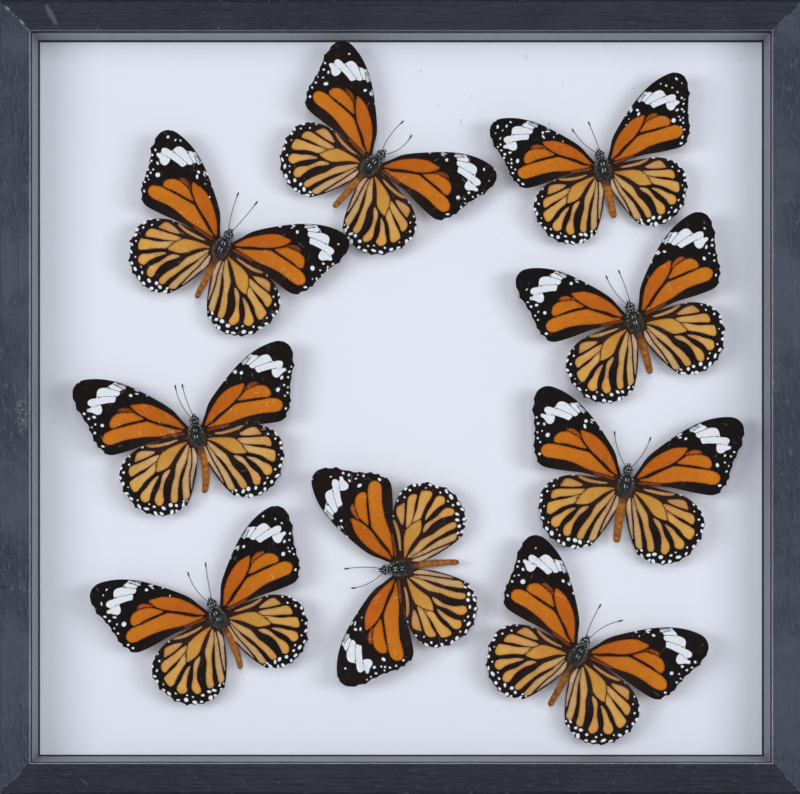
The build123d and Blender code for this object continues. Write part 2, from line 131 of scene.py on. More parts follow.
# ---------------------------------------------------------------- wing outlines
# x runs out from the root, y towards the head, in millimetres.
FORE_COSTA = [
    (-2.6, 0.2), (3.6, 3.3), (10.3, 6.2), (25.6, 8.2),
    (36.0, 7.4), (44.0, 4.1), (46.2, 0.0), (45.0, -4.0),
]
FORE_MARGIN = [
    (45.0, -4.0), (42.6, -7.3), (38.2, -10.2), (35.2, -12.9),
    (32.2, -16.2), (29.9, -17.9), (26.6, -19.2),
]
FORE_REAR = [(26.6, -19.2), (23.2, -18.5), (17.7, -14.5), (10.2, -8.2), (0.0, -1.9), (-2.4, -1.0)]
HIND_COSTA = [(-3.5, 0.8), (4.5, 8.4), (11.5, 14.9), (16.9, 17.4), (21.0, 17.9), (26.0, 16.4)]
HIND_MARGIN = [
    (26.0, 16.4), (29.7, 12.7), (31.1, 9.2), (32.7, 5.8), (32.8, 0.6),
    (31.9, -2.3), (30.8, -5.3), (27.9, -8.8), (25.4, -10.1), (22.4, -11.4),
]
HIND_INNER = [(22.4, -11.4), (17.2, -10.7), (10.2, -8.7), (4.9, -6.4), (0.0, -3.9), (-0.8, -2.6)]

# ---------------------------------------------------------------- wing pattern
# Coloured cells between the dark veins: colour near the root, colour near the tip, outline.
FORE_CELLS = [
    ((177, 91, 22), (192, 98, 21), [
        (1.5, 0.5), (3.4, 1.6), (6.3, 2.9), (9.9, 3.9), (13, 4.4), (16.3, 4.4), (19.1, 3.9),
        (21.6, 2.7), (23.4, 1.6), (22, 0.6), (19.9, -0.2), (17, -0.6), (14.1, -0.7),
        (11.3, -0.4), (7.7, 0), (4.1, 0)]),
    ((186, 101, 27), (202, 117, 26), [
        (2, -0.7), (4.9, -1.4), (7.7, -1.5), (11.3, -1.7), (14.9, -2), (15.9, -2.3),
        (18.4, -3.9), (21.3, -5.9), (24.1, -7.9), (26.6, -9.6), (28.4, -11.4), (29.1, -13.2),
        (28.6, -14.8), (27, -15.5), (25.2, -15), (23.1, -13.4), (20.6, -11.4), (17.7, -9.5),
        (14.9, -8), (12, -6.8), (9.1, -5.4), (6.6, -3.9), (4.1, -2.3)]),
    ((192, 104, 18), (195, 110, 25), [
        (17.5, -1.6), (19.5, -1.3), (22, -1), (24.1, -1.4), (26.3, -2.7), (28.1, -4.3),
        (28.8, -6.1), (28.6, -7.9), (27.7, -8.9), (26.3, -8.4), (24.1, -6.4), (21.6, -4.6),
        (19.5, -3.2)]),
    ((190, 96, 26), (172, 84, 28), [
        (21.8, -0.3), (23.6, 0), (25.6, -0.3), (27, -1.2), (27.4, -2.4), (25.8, -2),
        (23.6, -1.2)]),
    ((118, 64, 30), (132, 72, 32), [
        (0.9, -1.1), (4.5, -3.2), (8.1, -5.4), (8.1, -6), (4.3, -3.8), (0.8, -1.7)]),
]
FORE_BAND = [
    [(28.4, 8.1), (31.5, 8), (31.5, 7.6), (28.4, 7.7)],
    [(28.4, 7.2), (31, 7.4), (33.1, 7.7), (33.2, 7.3), (31, 6.8), (28.4, 6.6)],
    [(29.9, 6.2), (33.1, 6.5), (34.3, 5.9), (34.5, 4.6), (32, 5), (29.9, 5.2)],
    [(29.9, 5), (32.4, 4.8), (34.9, 4.5), (37, 3.6), (37.9, 2.3), (37.5, 0.4), (36.3, 0.5),
     (34.1, 1.4), (32, 2.3), (29.9, 3.4)],
    [(30.8, 2.9), (32.7, 2), (34.9, 1.1), (37, -0.4), (39.1, -1.6), (39.9, -2.9),
     (39.3, -3.9), (38.1, -3.9), (36.3, -2.7), (34.1, -1.4), (32, -0.2), (30.4, 0.6),
     (30.4, 1.8)],
    [(35.2, -2.3), (36.3, -3.4), (37.7, -4.6), (39.1, -5.5), (38.6, -6.4), (37, -6),
     (34.9, -6.1), (33.8, -5.2), (34, -3.6)],
]
# White spots as x, y, half width, half height.
FORE_SPOTS = [
    (25.7, 5.2, 0.6, 0.6), (24.1, 7.6, 1.1, 0.25), (23.8, 6.7, 0.9, 0.25), (19.1, 7.4, 0.5, 0.3),
    (31.5, -9.3, 0.8, 0.85), (35.7, -7.4, 0.7, 0.5), (37.4, -8.9, 0.5, 0.5),
    (39.4, -7.8, 0.55, 0.4), (34.3, -9.8, 0.35, 0.45), (34.9, -11.6, 0.35, 0.35),
    (33.2, -13, 0.45, 0.45), (28.5, -16.6, 0.65, 0.45), (45.3, 3.3, 0.35, 0.8),
]
FORE_EXTRA_SPOTS = [
    (24.5, 3.8, 0.8, 0.5), (20.6, 5.4, 0.25, 0.3), (15.9, 4.9, 0.25, 0.4), (39.8, 4.6, 0.5, 0.3),
    (40.8, 2.6, 0.35, 0.6), (43.5, 0.9, 0.5, 0.8), (41.4, 0.1, 0.35, 0.4),
    (43.4, -2, 0.25, 0.3), (41.5, -3.1, 0.3, 0.6), (40.6, -5.7, 0.45, 0.5),
    (41, -6.9, 0.4, 0.3), (37.2, -10.2, 0.5, 0.4), (33.6, -11.2, 0.5, 0.45),
    (31.5, -13.2, 0.3, 0.35), (31.6, -14.9, 0.5, 0.45), (26.4, -17.6, 0.6, 0.4),
]
TIP_X = 42.0  # spots past this don't shift with the band
EMBER_CELL, EMBER_DARK = 3, (84, 44, 28)  # the small cell that some specimens have darkened

HIND_CELLS = [
    ((191, 131, 54), (204, 150, 69), [
        (1.3, 0.3), (2.7, 1.8), (5, 3.7), (7, 5.2), (9, 6.3), (10, 6.6), (12.7, 6.4),
        (15, 5.8), (16.5, 5.3), (16.3, 4.7), (15, 3.5), (13.3, 2.3), (11.7, 1.8), (10, 1.7),
        (7.7, 1.6), (5, 1.3), (2.7, 0.7)]),
    ((206, 164, 116), (190, 140, 84), [
        (2.2, 3.7), (4.3, 6), (7, 9.3), (9.2, 12.7), (9.6, 12.8), (9.2, 11.3), (7.7, 8.7),
        (5.3, 6), (3.2, 4.2)]),
    ((188, 134, 74), (196, 138, 72), [
        (10.3, 9.2), (11, 11), (12.3, 13.3), (14, 14.8), (16, 14.5), (17.2, 14),
        (16.3, 13.2), (14.7, 11.8), (12.7, 10.3), (11, 9.3)]),
    ((200, 147, 79), (206, 150, 72), [
        (10.8, 7.2), (12.7, 9), (15, 10.7), (17.3, 12.5), (19.3, 14), (20.7, 14.3),
        (22, 13.7), (22.8, 12.7), (22.3, 12), (20, 11), (17.3, 9.3), (14.7, 7.8), (12.7, 7)]),
    ((206, 155, 84), (210, 156, 72), [
        (13.7, 6.7), (16, 7.7), (19.3, 9), (22, 10.5), (24, 11.4), (25.3, 11.7),
        (26.7, 10.3), (27.3, 9), (26.8, 8.2), (25, 7.7), (22.3, 7.4), (19.3, 6.5),
        (17.3, 5.7), (15.7, 5.8)]),
    ((200, 155, 94), (216, 157, 74), [
        (17.8, 3.7), (19.3, 4.6), (21.3, 5.2), (23.7, 5.5), (26, 6.1), (27.7, 6),
        (28.8, 4.8), (28.8, 3.7), (28, 2.7), (27, 2.5), (25, 3.3), (22, 3.7), (19.3, 3.7)]),
    ((194, 148, 95), (213, 152, 72), [
        (13.5, 1), (15, 2), (16.7, 2.3), (19, 1.8), (21.3, 1.2), (24, 1), (25.3, 0.8),
        (26.7, 0), (27.5, -1.7), (27, -2.7), (25.7, -3), (24.3, -2), (22.7, -0.8),
        (20.7, 0.2), (18, 0.8), (15.3, 0.7)]),
    ((193, 150, 88), (200, 148, 78), [
        (2, -0.5), (5, -0.4), (10, -0.4), (11.3, -0.7), (12.7, -1.25), (15, -2.3),
        (17.3, -2.7), (19.3, -3.2), (21.3, -3.9), (23, -4.7), (24, -5.7), (23.8, -6.5),
        (23, -7.1), (21.7, -6.7), (20, -5.8), (17.7, -5), (15, -4.1), (12.7, -3.4),
        (10, -2.9), (7.7, -2.6), (6, -2.25), (4.3, -1.75), (2.7, -1.1)]),
    ((191, 156, 115), (196, 156, 104), [
        (2.7, -1.7), (4.3, -2.2), (6, -2.8), (8, -3.7), (10, -4.3), (12.3, -5),
        (15, -5.75), (17, -6.7), (19, -7.7), (20.8, -8.7), (21.2, -9.3), (20.3, -10),
        (19, -10.25), (18.2, -9.9), (16.7, -9), (15, -8.2), (13.2, -7.3), (11.3, -6.3),
        (10, -5.75), (8.3, -5.1), (6.7, -4.3), (5, -3.4), (3.7, -2.5)]),
    ((202, 170, 144), (186, 160, 138), [
        (2, -2.75), (3.3, -3.3), (5, -4.3), (6.7, -5.25), (8.3, -6), (10, -6.7),
        (11.7, -7.5), (13.3, -8.3), (14.8, -9.2), (15.7, -9.8), (14.3, -9.3),
        (12.7, -8.75), (11, -8.2), (9.3, -7.5), (7.7, -6.9), (6, -6.4), (4.7, -5.8),
        (3.5, -5), (2.5, -3.8)]),
]
HIND_CREAM = (226, 192, 150)  # the palest that a hindwing's cells get near the body
HIND_SPOTS = [
    (10.7, 14.4, 0.7, 0.35), (16.6, 16.8, 0.5, 0.3), (19.1, 17.8, 0.8, 0.35),
    (21.8, 17.5, 1, 0.45), (19.3, 15.6, 0.4, 0.35), (22.8, 15.7, 0.5, 0.45),
    (25.4, 15.9, 0.6, 0.7), (26.8, 14.2, 0.8, 0.6), (27.2, 11.7, 0.3, 0.3),
    (29.3, 11.1, 0.45, 0.75), (30.3, 8.6, 0.55, 0.9), (29.6, 6.1, 0.4, 0.4),
    (31.5, 4.5, 0.5, 0.95), (30.9, 1.7, 0.65, 1), (28.8, 1.6, 0.3, 0.4),
    (29, -0.6, 0.4, 0.6), (30.7, -2.1, 0.6, 0.9), (29.8, -4.5, 0.55, 0.9),
    (27.4, -4.1, 0.65, 0.85), (25.3, -5.9, 0.7, 0.8), (27.6, -7.5, 0.95, 0.75),
    (24.3, -7.8, 0.65, 0.85), (26.2, -8.7, 0.5, 0.6), (21.7, -9.4, 0.65, 0.4),
    (23.3, -10.3, 1.1, 0.5), (20.9, -10.7, 0.4, 0.3),
]

# Head and thorax from the nose back, as (y, half width), with the head at y = 3.9.
FORE_BODY = [
    (5.6, 0.7), (5.0, 1.35), (4.0, 1.75), (3.0, 1.55), (2.4, 1.2),
    (1.6, 2.2), (0.0, 2.85), (-2.6, 3.0), (-4.8, 2.3), (-6.2, 1.15),
]
THORAX_Y, WAIST_Y, HEAD_Y = -2.6, -6.2, 3.9
ABDOMEN_SEGMENTS = 7
ABDOMEN_TAPER = 0.76  # width of the last segment, of the fullest one's
ABDOMEN_FRONT, ABDOMEN_END = 0.85, 0.4  # widths of the first segment and of the end, likewise
# White scale tufts on the head and thorax: beside, along, half width, half length.
TUFTS = [
    (0.0, 4.9, 0.2, 0.25), (0.7, 4.4, 0.24, 0.25), (1.05, 3.4, 0.22, 0.28), (0.35, 3.2, 0.2, 0.2),
    (0.55, 2.1, 0.24, 0.2), (1.5, 1.5, 0.28, 0.22), (2.1, 0.5, 0.24, 0.28), (2.5, -1.0, 0.2, 0.3),
    (0.5, -0.1, 0.15, 0.8), (0.5, -2.6, 0.14, 0.8),
]


# ---------------------------------------------------------------- shader maths
class Value:
    """A socket of a finish that takes part in Python sums."""

    def __init__(self, finish, socket):
        self.finish, self.socket = finish, socket

    def sum(self, operation, *values):
        return self.finish.node("ShaderNodeMath", {"operation": operation}, dict(enumerate(values)))

    def __add__(self, other):
        return self.sum("ADD", self, other)

    def __sub__(self, other):
        return self.sum("SUBTRACT", self, other)

    def __rsub__(self, other):
        return self.sum("SUBTRACT", other, self)

    def __mul__(self, other):
        return self.sum("MULTIPLY", self, other)

    def __truediv__(self, other):
        return self.sum("DIVIDE", self, other)

    def __pow__(self, other):
        return self.sum("POWER", self, other)

    def __abs__(self):
        return self.sum("ABSOLUTE", self)

    __radd__ = __add__
    __rmul__ = __mul__

    def low(self, other):
        return self.sum("MINIMUM", self, other)

    def high(self, other):
        return self.sum("MAXIMUM", self, other)

    def ramp(self, start, end, low=0.0, high=1.0):
        """Runs smoothly from low to high as this value goes from start to end."""
        return self.finish.node(
            "ShaderNodeMapRange", {"interpolation_type": "SMOOTHSTEP"},
            {0: self, 1: start, 2: end, 3: low, 4: high},
        )


class Finish:
    """One procedural material, with the few kinds of node that it is written in."""

    def __init__(self, name):
        self.material = bpy.data.materials.new(name)
        self.material.use_nodes = True
        self.tree = self.material.node_tree
        self.tree.nodes.clear()
        self.output = self.tree.nodes.new("ShaderNodeOutputMaterial")

    def node(self, kind, settings=None, sockets=None, out=0):
        node = self.tree.nodes.new(kind)
        for key, value in (settings or {}).items():
            setattr(node, key, value)
        for key, value in (sockets or {}).items():
            if isinstance(value, Value):
                self.tree.links.new(value.socket, node.inputs[key])
            else:
                node.inputs[key].default_value = value
        return Value(self, node.outputs[out])

    def place(self):
        """Object coordinates, in metres."""
        return self.node("ShaderNodeTexCoord", out="Object")

    def parts(self, vector):
        split = self.node("ShaderNodeSeparateXYZ", None, {0: vector}).socket.node
        return [Value(self, split.outputs[i]) for i in range(3)]

    def vector(self, x, y, z=0.0):
        return self.node("ShaderNodeCombineXYZ", None, {0: x, 1: y, 2: z})

    def attribute(self, name, out="Fac"):
        return self.node("ShaderNodeAttribute", {"attribute_name": name}, out=out)

    def noise(self, vector, scale, detail=2.0, rough=0.5):
        return self.node(
            "ShaderNodeTexNoise", None,
            {"Vector": vector, "Scale": scale, "Detail": detail, "Roughness": rough},
        )

    def cells(self, vector, scale, out="Distance"):
        return self.node("ShaderNodeTexVoronoi", None, {"Vector": vector, "Scale": scale}, out=out)

    def flecks(self, vector, scale, size, share):
        """Specks of about size, of a cell, in that share of the cells."""
        chance = self.parts(self.cells(vector, scale, "Color"))[0]
        return (1 - self.cells(vector, scale).ramp(size * 0.6, size)) * chance.ramp(1 - share, 1.001 - share)

    def round_off(self, x, z, middle, half, wander):
        """Grows from 0 in a blot's middle to 1 at its wandering edge, half as wide and high as given."""
        beside, above = (x - middle[0]) / half[0], (z - middle[1]) / half[1]
        return beside * beside + above * above + wander * 1.5

    def blot(self, x, z, middle, half, wander):
        return 1 - self.round_off(x, z, middle, half, wander).ramp(0.35, 1.2)

    def mix(self, factor, first, second, blend="MIX"):
        return self.node(
            "ShaderNodeMix", {"data_type": "RGBA", "blend_type": blend},
            {0: factor, 6: first, 7: second}, out=2,
        )

    def bump(self, height):
        """A bump from a height in metres."""
        return self.node("ShaderNodeBump", None, {"Strength": 1.0, "Distance": 1.0, "Height": height})

    def surface(self, colour, roughness=0.5, bump=None, **sockets):
        values = {"Base Color": colour, "Roughness": roughness}
        if bump is not None:
            values["Normal"] = self.bump(bump)
        values.update({key.replace("_", " "): value for key, value in sockets.items()})
        shader = self.node("ShaderNodeBsdfPrincipled", None, values)
        self.tree.links.new(shader.socket, self.output.inputs["Surface"])
        return self.material


def grey(value):
    return (value, value, value, 1.0)


# ---------------------------------------------------------------- finishes of the case
def rail_paint(name, upright, base, sheen):
    """Blue-grey paint brushed along a rail, chipped at its edges, with a crack at each mitre."""
    finish = Finish(name)
    place = finish.place()
    x, y, z = finish.parts(place)
    along, across = (z, x) if upright else (x, z)
    bristles = finish.noise(finish.vector(across, along * 0.025, y), 1700, 3)
    strokes = finish.noise(finish.vector(across, along * 0.04, y), 430, 3, 0.6)
    mottle = finish.noise(place, 60, 4, 0.65)
    grit = finish.noise(place, 1300, 3, 0.6)
    from_side = CASE_HALF_WIDTH - abs(x)
    from_end = CASE_MIDDLE_Z - abs(z - CASE_MIDDLE_Z)
    wander = finish.noise(place, 260, 3) - 0.5
    blotch = finish.noise(place, 420, 4, 0.7) - 0.5

    # The mitres: one is chipped light, the others are dark cracks.
    mitre = abs(from_side - from_end + wander * 0.0005)
    crack = 1 - mitre.ramp(0.00012, 0.0004)
    chipped = finish.noise(place, 130, 3, 0.7).ramp(0.5, 0.6)
    top_left = (0 - x).ramp(0.0, 0.1) * z.ramp(0.2, 0.26)
    flaked = (1 - mitre.ramp(0.0003, 0.0011)) * top_left * blotch.ramp(-0.02, 0.1)

    # Painted highlight where the lip's inner edge meets the front, and painted shade on its inner face further back.
    inwards, back = from_side.low(from_end), y - CASE_LOW.y
    at_lip = inwards.ramp(RAIL_FACE - 0.0004, RAIL_FACE - 0.0001)
    lip_highlight = at_lip * (1 - back.ramp(0.0009, 0.0015)) * (0.45 + blotch * 0.9 + mottle * 0.4)
    lip_shade = at_lip * back.ramp(0.0013, 0.0021)
    # The top rail's lip gets a weaker painted highlight than the bottom rail's.
    if not upright:
        lip_highlight = lip_highlight * (1 - (z - CASE_MIDDLE_Z).ramp(-0.05, 0.05) * 0.65)

    outer_edge = abs(inwards + wander * 0.0012 - 0.0004)
    worn = (1 - outer_edge.ramp(0.0002, 0.0009)) * finish.noise(place, 210, 4, 0.7).ramp(0.6, 0.68)
    nicks = inwards.ramp(RAIL_FACE - 0.0011, RAIL_FACE - 0.0004) * finish.noise(
        place, 330, 3, 0.7).ramp(0.64, 0.7)
    dust = finish.flecks(place, 260, 0.09, 0.12)
    scratches = finish.noise(
        finish.vector((x + z) * 16, (x - z) * 0.9, y), 60, 2, 0.5).ramp(0.715, 0.74) \
        * finish.noise(place, 38, 2).ramp(0.52, 0.62)
    scuffs = finish.noise(finish.vector(x * 0.7, y, z * 0.7), 460, 5, 0.75).ramp(0.64, 0.74) \
        * finish.noise(place, 34, 2).ramp(0.48, 0.64)
    curl = finish.noise(place, 620, 3, 0.6) - 0.5
    marks = finish.blot(x, z, (-0.1439, 0.1450), (0.0026, 0.0080), blotch) * (1 - abs(curl).ramp(0.01, 0.08))
    drip_edge = finish.round_off(x, z, (-0.1517, 0.0858), (0.0047, 0.0074), wander)
    drip = 1 - abs(drip_edge - 1).ramp(0.02, 0.13)
    scrape = finish.blot(x + (z - 0.296) * 0.5, z, (-0.1327, 0.2962), (0.0012, 0.0042), blotch * 2.0)
    # Patches where the paint dried wrinkled along the brush, given painted highlights on their crests, painted shade in
    # their valleys and painted light from one side.
    wrinkled = finish.noise(place, 26, 3, 0.6).ramp(0.38, 0.58) * (1.0 if upright else 0.35)
    run = finish.vector(across, along * 0.3, y)
    wrinkles = finish.noise(run, 700, 4, 0.65)
    crest_highlight = wrinkled * wrinkles.ramp(0.54, 0.68)
    # Painted light from one side on the wrinkles: the wrinkles less a copy of them moved aside, as relief lit at a
    # slant would look.
    beyond = finish.vector(across + 0.0004, (along + 0.0005) * 0.3, y)
    lit = (wrinkles - finish.noise(beyond, 700, 4, 0.65)) * (wrinkled + 0.25)

    # The uprights' paint is toned lighter than the level rails', as painted light. The lit term adds the wrinkles'
    # painted side light.
    tone = (0.73 if upright else 0.63) + strokes * 0.4 + mottle * 0.32 + bristles * 0.12 + lit * 1.1
    paint = finish.mix(1.0, base, finish.vector(tone, tone, tone), "MULTIPLY")
    paint = finish.mix(scuffs * 0.22, paint, srgb(112, 118, 132))
    # Painted highlight on the wrinkles' crests, then painted shade in their valleys.
    paint = finish.mix(crest_highlight * 0.24, paint, srgb(128, 134, 150))
    paint = finish.mix(wrinkled * wrinkles.ramp(0.44, 0.34) * 0.22, paint, srgb(24, 27, 36))
    paint = finish.mix(marks * 0.6, paint, srgb(150, 154, 164))
    paint = finish.mix(drip * 0.65, paint, srgb(26, 29, 38))
    paint = finish.mix(scrape * 0.22 + scratches * 0.3, paint, srgb(140, 146, 158))
    paint = finish.mix(dust * 0.35, paint, srgb(136, 142, 154))
    paint = finish.mix(crack * 0.9, paint, finish.mix(chipped, srgb(20, 21, 27), srgb(96, 102, 116)))
    paint = finish.mix(flaked * 0.75, paint, srgb(158, 162, 172))
    paint = finish.mix(worn * 0.15 + nicks * 0.5, paint, srgb(146, 150, 162))
    # Painted highlight on the lip's inner edge, then painted shade behind it.
    paint = finish.mix(lip_highlight, paint, srgb(172, 176, 188))
    paint = finish.mix(lip_shade * 0.9, paint, srgb(13, 14, 18))
    height = (
        bristles * 0.00008 + strokes * 0.0009 + mottle * 0.0011 + grit * 0.00005
        + scuffs * 0.00008 + marks * 0.0004 - drip * 0.0001 - crack * 0.00012 - nicks * 0.00006
        + wrinkles * (wrinkled * 0.0018 + 0.0003)
    )
    rough = 0.44 + bristles * 0.16 + scuffs * 0.1 + lip_shade * 0.3
    return finish.surface(paint, rough, height, Specular_IOR_Level=sheen)


def pane_glass():
    """Low-reflection glass: all of what is behind shows straight on, and more mirror at a slant."""
    finish = Finish("pane_glass")
    clear = finish.node("ShaderNodeBsdfTransparent", None, {"Color": (0.985, 0.994, 0.992, 1)})
    mirror = finish.node("ShaderNodeBsdfGlossy", None, {"Color": grey(1.0), "Roughness": 0.03})
    slant = finish.node("ShaderNodeFresnel", None, {"IOR": 1.25})
    straight_on = 0.0123  # what that index mirrors straight on, which the coating takes off
    leaving = finish.node("ShaderNodeNewGeometry", out="Backfacing")
    factor = (slant - straight_on).high(0.0) * (1 - leaving)
    mixed = finish.node("ShaderNodeMixShader", None, {0: factor, 1: clear, 2: mirror})
    finish.tree.links.new(mixed.socket, finish.output.inputs["Surface"])
    return finish.material


def spacer_plastic(base):
    finish = Finish("spacer_plastic")
    place = finish.place()
    x, y, z = finish.parts(place)
    lines = finish.noise(finish.vector(x * 0.02, y, z * 0.02), 900, 3)
    marks = finish.noise(place, 500, 4, 0.7).ramp(0.62, 0.72)
    front, rear = (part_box("spacer_left")[side].y for side in (0, 1))
    # Painted highlights along the spacers' front and rear edges.
    edges = (1 - (y - front).ramp(0.0004, 0.0016)).high(1 - (rear - y).ramp(0.0005, 0.002))
    tone = 0.82 + lines * 0.3
    colour = finish.mix(1.0, base, finish.vector(tone, tone, tone), "MULTIPLY")
    colour = finish.mix(edges * 0.4, colour, srgb(172, 176, 186))
    colour = finish.mix(marks * 0.2, colour, srgb(90, 94, 104))
    return finish.surface(colour, 0.45 + marks * 0.2, lines * 0.00003, Specular_IOR_Level=0.4)


def gasket_foam():
    finish = Finish("gasket_foam")
    place = finish.place()
    pores = finish.cells(place, 2600)
    tone = finish.mix(pores.ramp(0.1, 0.5), srgb(14, 16, 22), srgb(34, 38, 48))
    return finish.surface(tone, 0.9, pores * 0.00012)


def facing_paper(base):
    """Matt paper with faint fibres and a scatter of dark dust."""
    finish = Finish("facing_paper")
    place = finish.place()
    x, y, z = finish.parts(place)
    fibres = finish.noise(finish.vector(x, y, z * 0.4), 2400, 3)
    cloud = finish.noise(place, 26, 2)
    tone = 0.965 + fibres * 0.03 + cloud * 0.03
    colour = finish.mix(1.0, base, finish.vector(tone, tone, tone), "MULTIPLY")
    top = (z - CASE_MIDDLE_Z).ramp(0.03, 0.09)
    dusty = 0.12 + top * x.ramp(-0.02, 0.05) * 0.88
    fine = finish.flecks(place, 95, 0.03, 0.2) * dusty
    coarse = finish.flecks(place, 46, 0.02, 0.16) * dusty.ramp(0.1, 0.6)
    lint = finish.noise(finish.vector(x * 9, y, z * 3), 70, 2, 0.5).ramp(0.74, 0.76) * dusty
    colour = finish.mix(fine * 0.5, colour, srgb(104, 104, 110))
    colour = finish.mix(lint * 0.5, colour, srgb(112, 110, 114))
    colour = finish.mix(coarse * 0.9, colour, srgb(52, 48, 50))
    return finish.surface(colour, 0.85, fibres * 0.00001, Specular_IOR_Level=0.25)


def foam_core():
    finish = Finish("foam_core")
    place = finish.place()
    beads = finish.cells(place, 900)
    tone = finish.mix(beads.ramp(0.0, 0.6), srgb(226, 226, 222), srgb(238, 238, 235))
    return finish.surface(tone, 0.85, beads * 0.00008)


def hardboard():
    """Pressed brown board: fine fibres over soft clouds."""
    finish = Finish("hardboard")
    place = finish.place()
    x, y, z = finish.parts(place)
    fibres = finish.noise(finish.vector(x, y, z * 0.35), 900, 5, 0.7)
    cross = finish.noise(finish.vector(x * 0.3, y, z), 1300, 4, 0.7)
    cloud = finish.noise(place, 22, 4)
    flecks = finish.flecks(place, 700, 0.2, 0.16)
    colour = finish.mix(fibres.ramp(0.3, 0.7), srgb(104, 70, 42), srgb(150, 108, 70))
    colour = finish.mix(cross.ramp(0.55, 0.75) * 0.5, colour, srgb(82, 52, 30))
    colour = finish.mix(cloud.ramp(0.35, 0.7) * 0.35, colour, srgb(120, 80, 46))
    colour = finish.mix(flecks * 0.6, colour, srgb(176, 140, 98))
    return finish.surface(colour, 0.55 + fibres * 0.25, fibres * 0.00005 + cross * 0.00003)


def zinc_steel():
    """Bright zinc plating: patchy crystals, a little dulled."""
    finish = Finish("zinc_steel")
    place = finish.place()
    x, y, z = finish.parts(place)
    brushed = finish.noise(finish.vector(x * 0.08, y, z), 5200, 3)
    patches = finish.parts(finish.cells(place, 700, "Color"))[0]
    haze = finish.noise(place, 160, 4)
    colour = finish.mix(patches * 0.5, srgb(176, 178, 182), srgb(202, 203, 206))
    colour = finish.mix(haze.ramp(0.5, 0.7) * 0.5, colour, srgb(150, 147, 140))
    return finish.surface(colour, 0.26 + brushed * 0.16 + haze * 0.16, brushed * 0.000006, Metallic=1.0)


def bumper_rubber():
    finish = Finish("bumper_rubber")
    place = finish.place()
    grain = finish.noise(place, 2600, 3)
    dust = finish.noise(place, 500, 4, 0.7).ramp(0.52, 0.75)
    colour = finish.mix(dust * 0.25, srgb(28, 28, 30), srgb(96, 94, 90))
    return finish.surface(colour, 0.6 + dust * 0.3, grain * 0.00002)


# ---------------------------------------------------------------- finishes of the specimens
def wing_scales(name, dark, brown):
    """A scaled wing: coloured cells with feathered edges between dark veins, and white spots."""
    finish = Finish(name)
    chart = finish.node("ShaderNodeUVMap", {"uv_map": "wing_map"})
    u, v, _ = finish.parts(chart)
    seed = finish.attribute("seed")
    place = finish.vector(u, v, seed)
    cell, spot = finish.attribute("cell_edge"), finish.attribute("spot_edge")
    rag, shade = finish.attribute("rag"), finish.attribute("shade")
    worn = finish.attribute("worn")
    ground = finish.attribute("cell_colour", "Color")
    reach = finish.node("ShaderNodeMath", {"operation": "SQRT"}, {0: u * u + v * v})
    bearing = finish.node("ShaderNodeMath", {"operation": "ARCTAN2"}, {0: v, 1: u})
    rays = finish.noise(finish.vector(bearing * 40, reach * 4, seed), 1.0, 4, 0.65)
    tooth = finish.noise(place, 130, 3, 0.7) - 0.5
    scale_tone = finish.parts(finish.cells(place, 330, "Color"))[0]
    cloud = finish.noise(place, 11, 3, 0.6)
    # Painted glints on the scales mixed with their own uneven tone; it lightens the cells and the white spots.
    glint_mottle = finish.noise(place, 60, 4, 0.7)

    in_cell = (cell + tooth * (rag * 2.6 + worn * 0.15)).ramp(-0.12, 0.1)
    in_spot = (spot + tooth * 0.16).ramp(-0.07, 0.07)
    rim = (1 - (cell + tooth * 0.8).ramp(0.0, 0.75)) * (0.3 + glint_mottle * 0.5)
    colour = finish.mix(rim, ground, finish.mix(1.0, ground, (0.62, 0.45, 0.35, 1), "MULTIPLY"))
    tone = 0.38 + rays * 0.36 + scale_tone * 0.14 + cloud * 0.3 + glint_mottle * 0.42
    colour = finish.mix(1.0, colour, finish.vector(tone, tone, tone), "MULTIPLY")
    bald = finish.noise(place, 17, 3, 0.6).ramp(0.5, 0.66) * worn
    specks = finish.flecks(place, 66, 0.14, 0.24)
    lines = finish.noise(finish.vector((u + v) * 7, (u - v) * 90, seed), 1.0, 2, 0.4).ramp(0.66, 0.71)
    strays = finish.noise(finish.vector((u - v) * 6, (u + v) * 70, seed + 9), 1.0, 2, 0.4).ramp(0.7, 0.74)
    colour = finish.mix(specks * (0.16 + bald * 0.6), colour, srgb(236, 204, 160))
    colour = finish.mix((lines + strays) * (bald * 0.7 + 0.12), colour, srgb(238, 214, 180))

    night = finish.mix((shade + cloud * 0.3 - 0.12).ramp(0.0, 1.0), dark, brown)
    grain = finish.noise(place, 110, 4, 0.75)
    night = finish.mix(grain.ramp(0.54, 0.78) * (0.2 + shade * 0.2), night, srgb(112, 88, 78))
    crumbs = finish.flecks(place, 80, 0.13, 0.16)
    night = finish.mix(crumbs * (0.2 + bald * 0.6), night, srgb(176, 172, 174))
    night = finish.mix((lines + strays) * bald * 0.6, night, srgb(188, 182, 180))
    colour = finish.mix(in_cell, night, colour)
    white = finish.mix(glint_mottle.ramp(0.35, 0.65), srgb(218, 220, 230), srgb(232, 234, 243))
    colour = finish.mix(in_spot, colour, white)

    height = scale_tone * 0.00001 + rays * 0.00004 + glint_mottle * 0.00003 + (1 - in_cell) * 0.00005
    rough = 0.5 + scale_tone * 0.2
    return finish.surface(colour, rough, height, Specular_IOR_Level=0.05)


def body_fur():
    """Short black fur of the head and thorax with grey streaks."""
    finish = Finish("body_fur")
    place = finish.place()
    tuft = finish.noise(place, 2400, 4, 0.7)
    clump = finish.noise(place, 700, 3, 0.6)
    colour = finish.mix(tuft.ramp(0.5, 0.75), srgb(15, 14, 16), srgb(62, 63, 68))
    colour = finish.mix(clump.ramp(0.58, 0.75) * 0.5, colour, srgb(92, 92, 95))
    return finish.surface(colour, 0.8, tuft * 0.0002 + clump * 0.0003, Specular_IOR_Level=0.2)


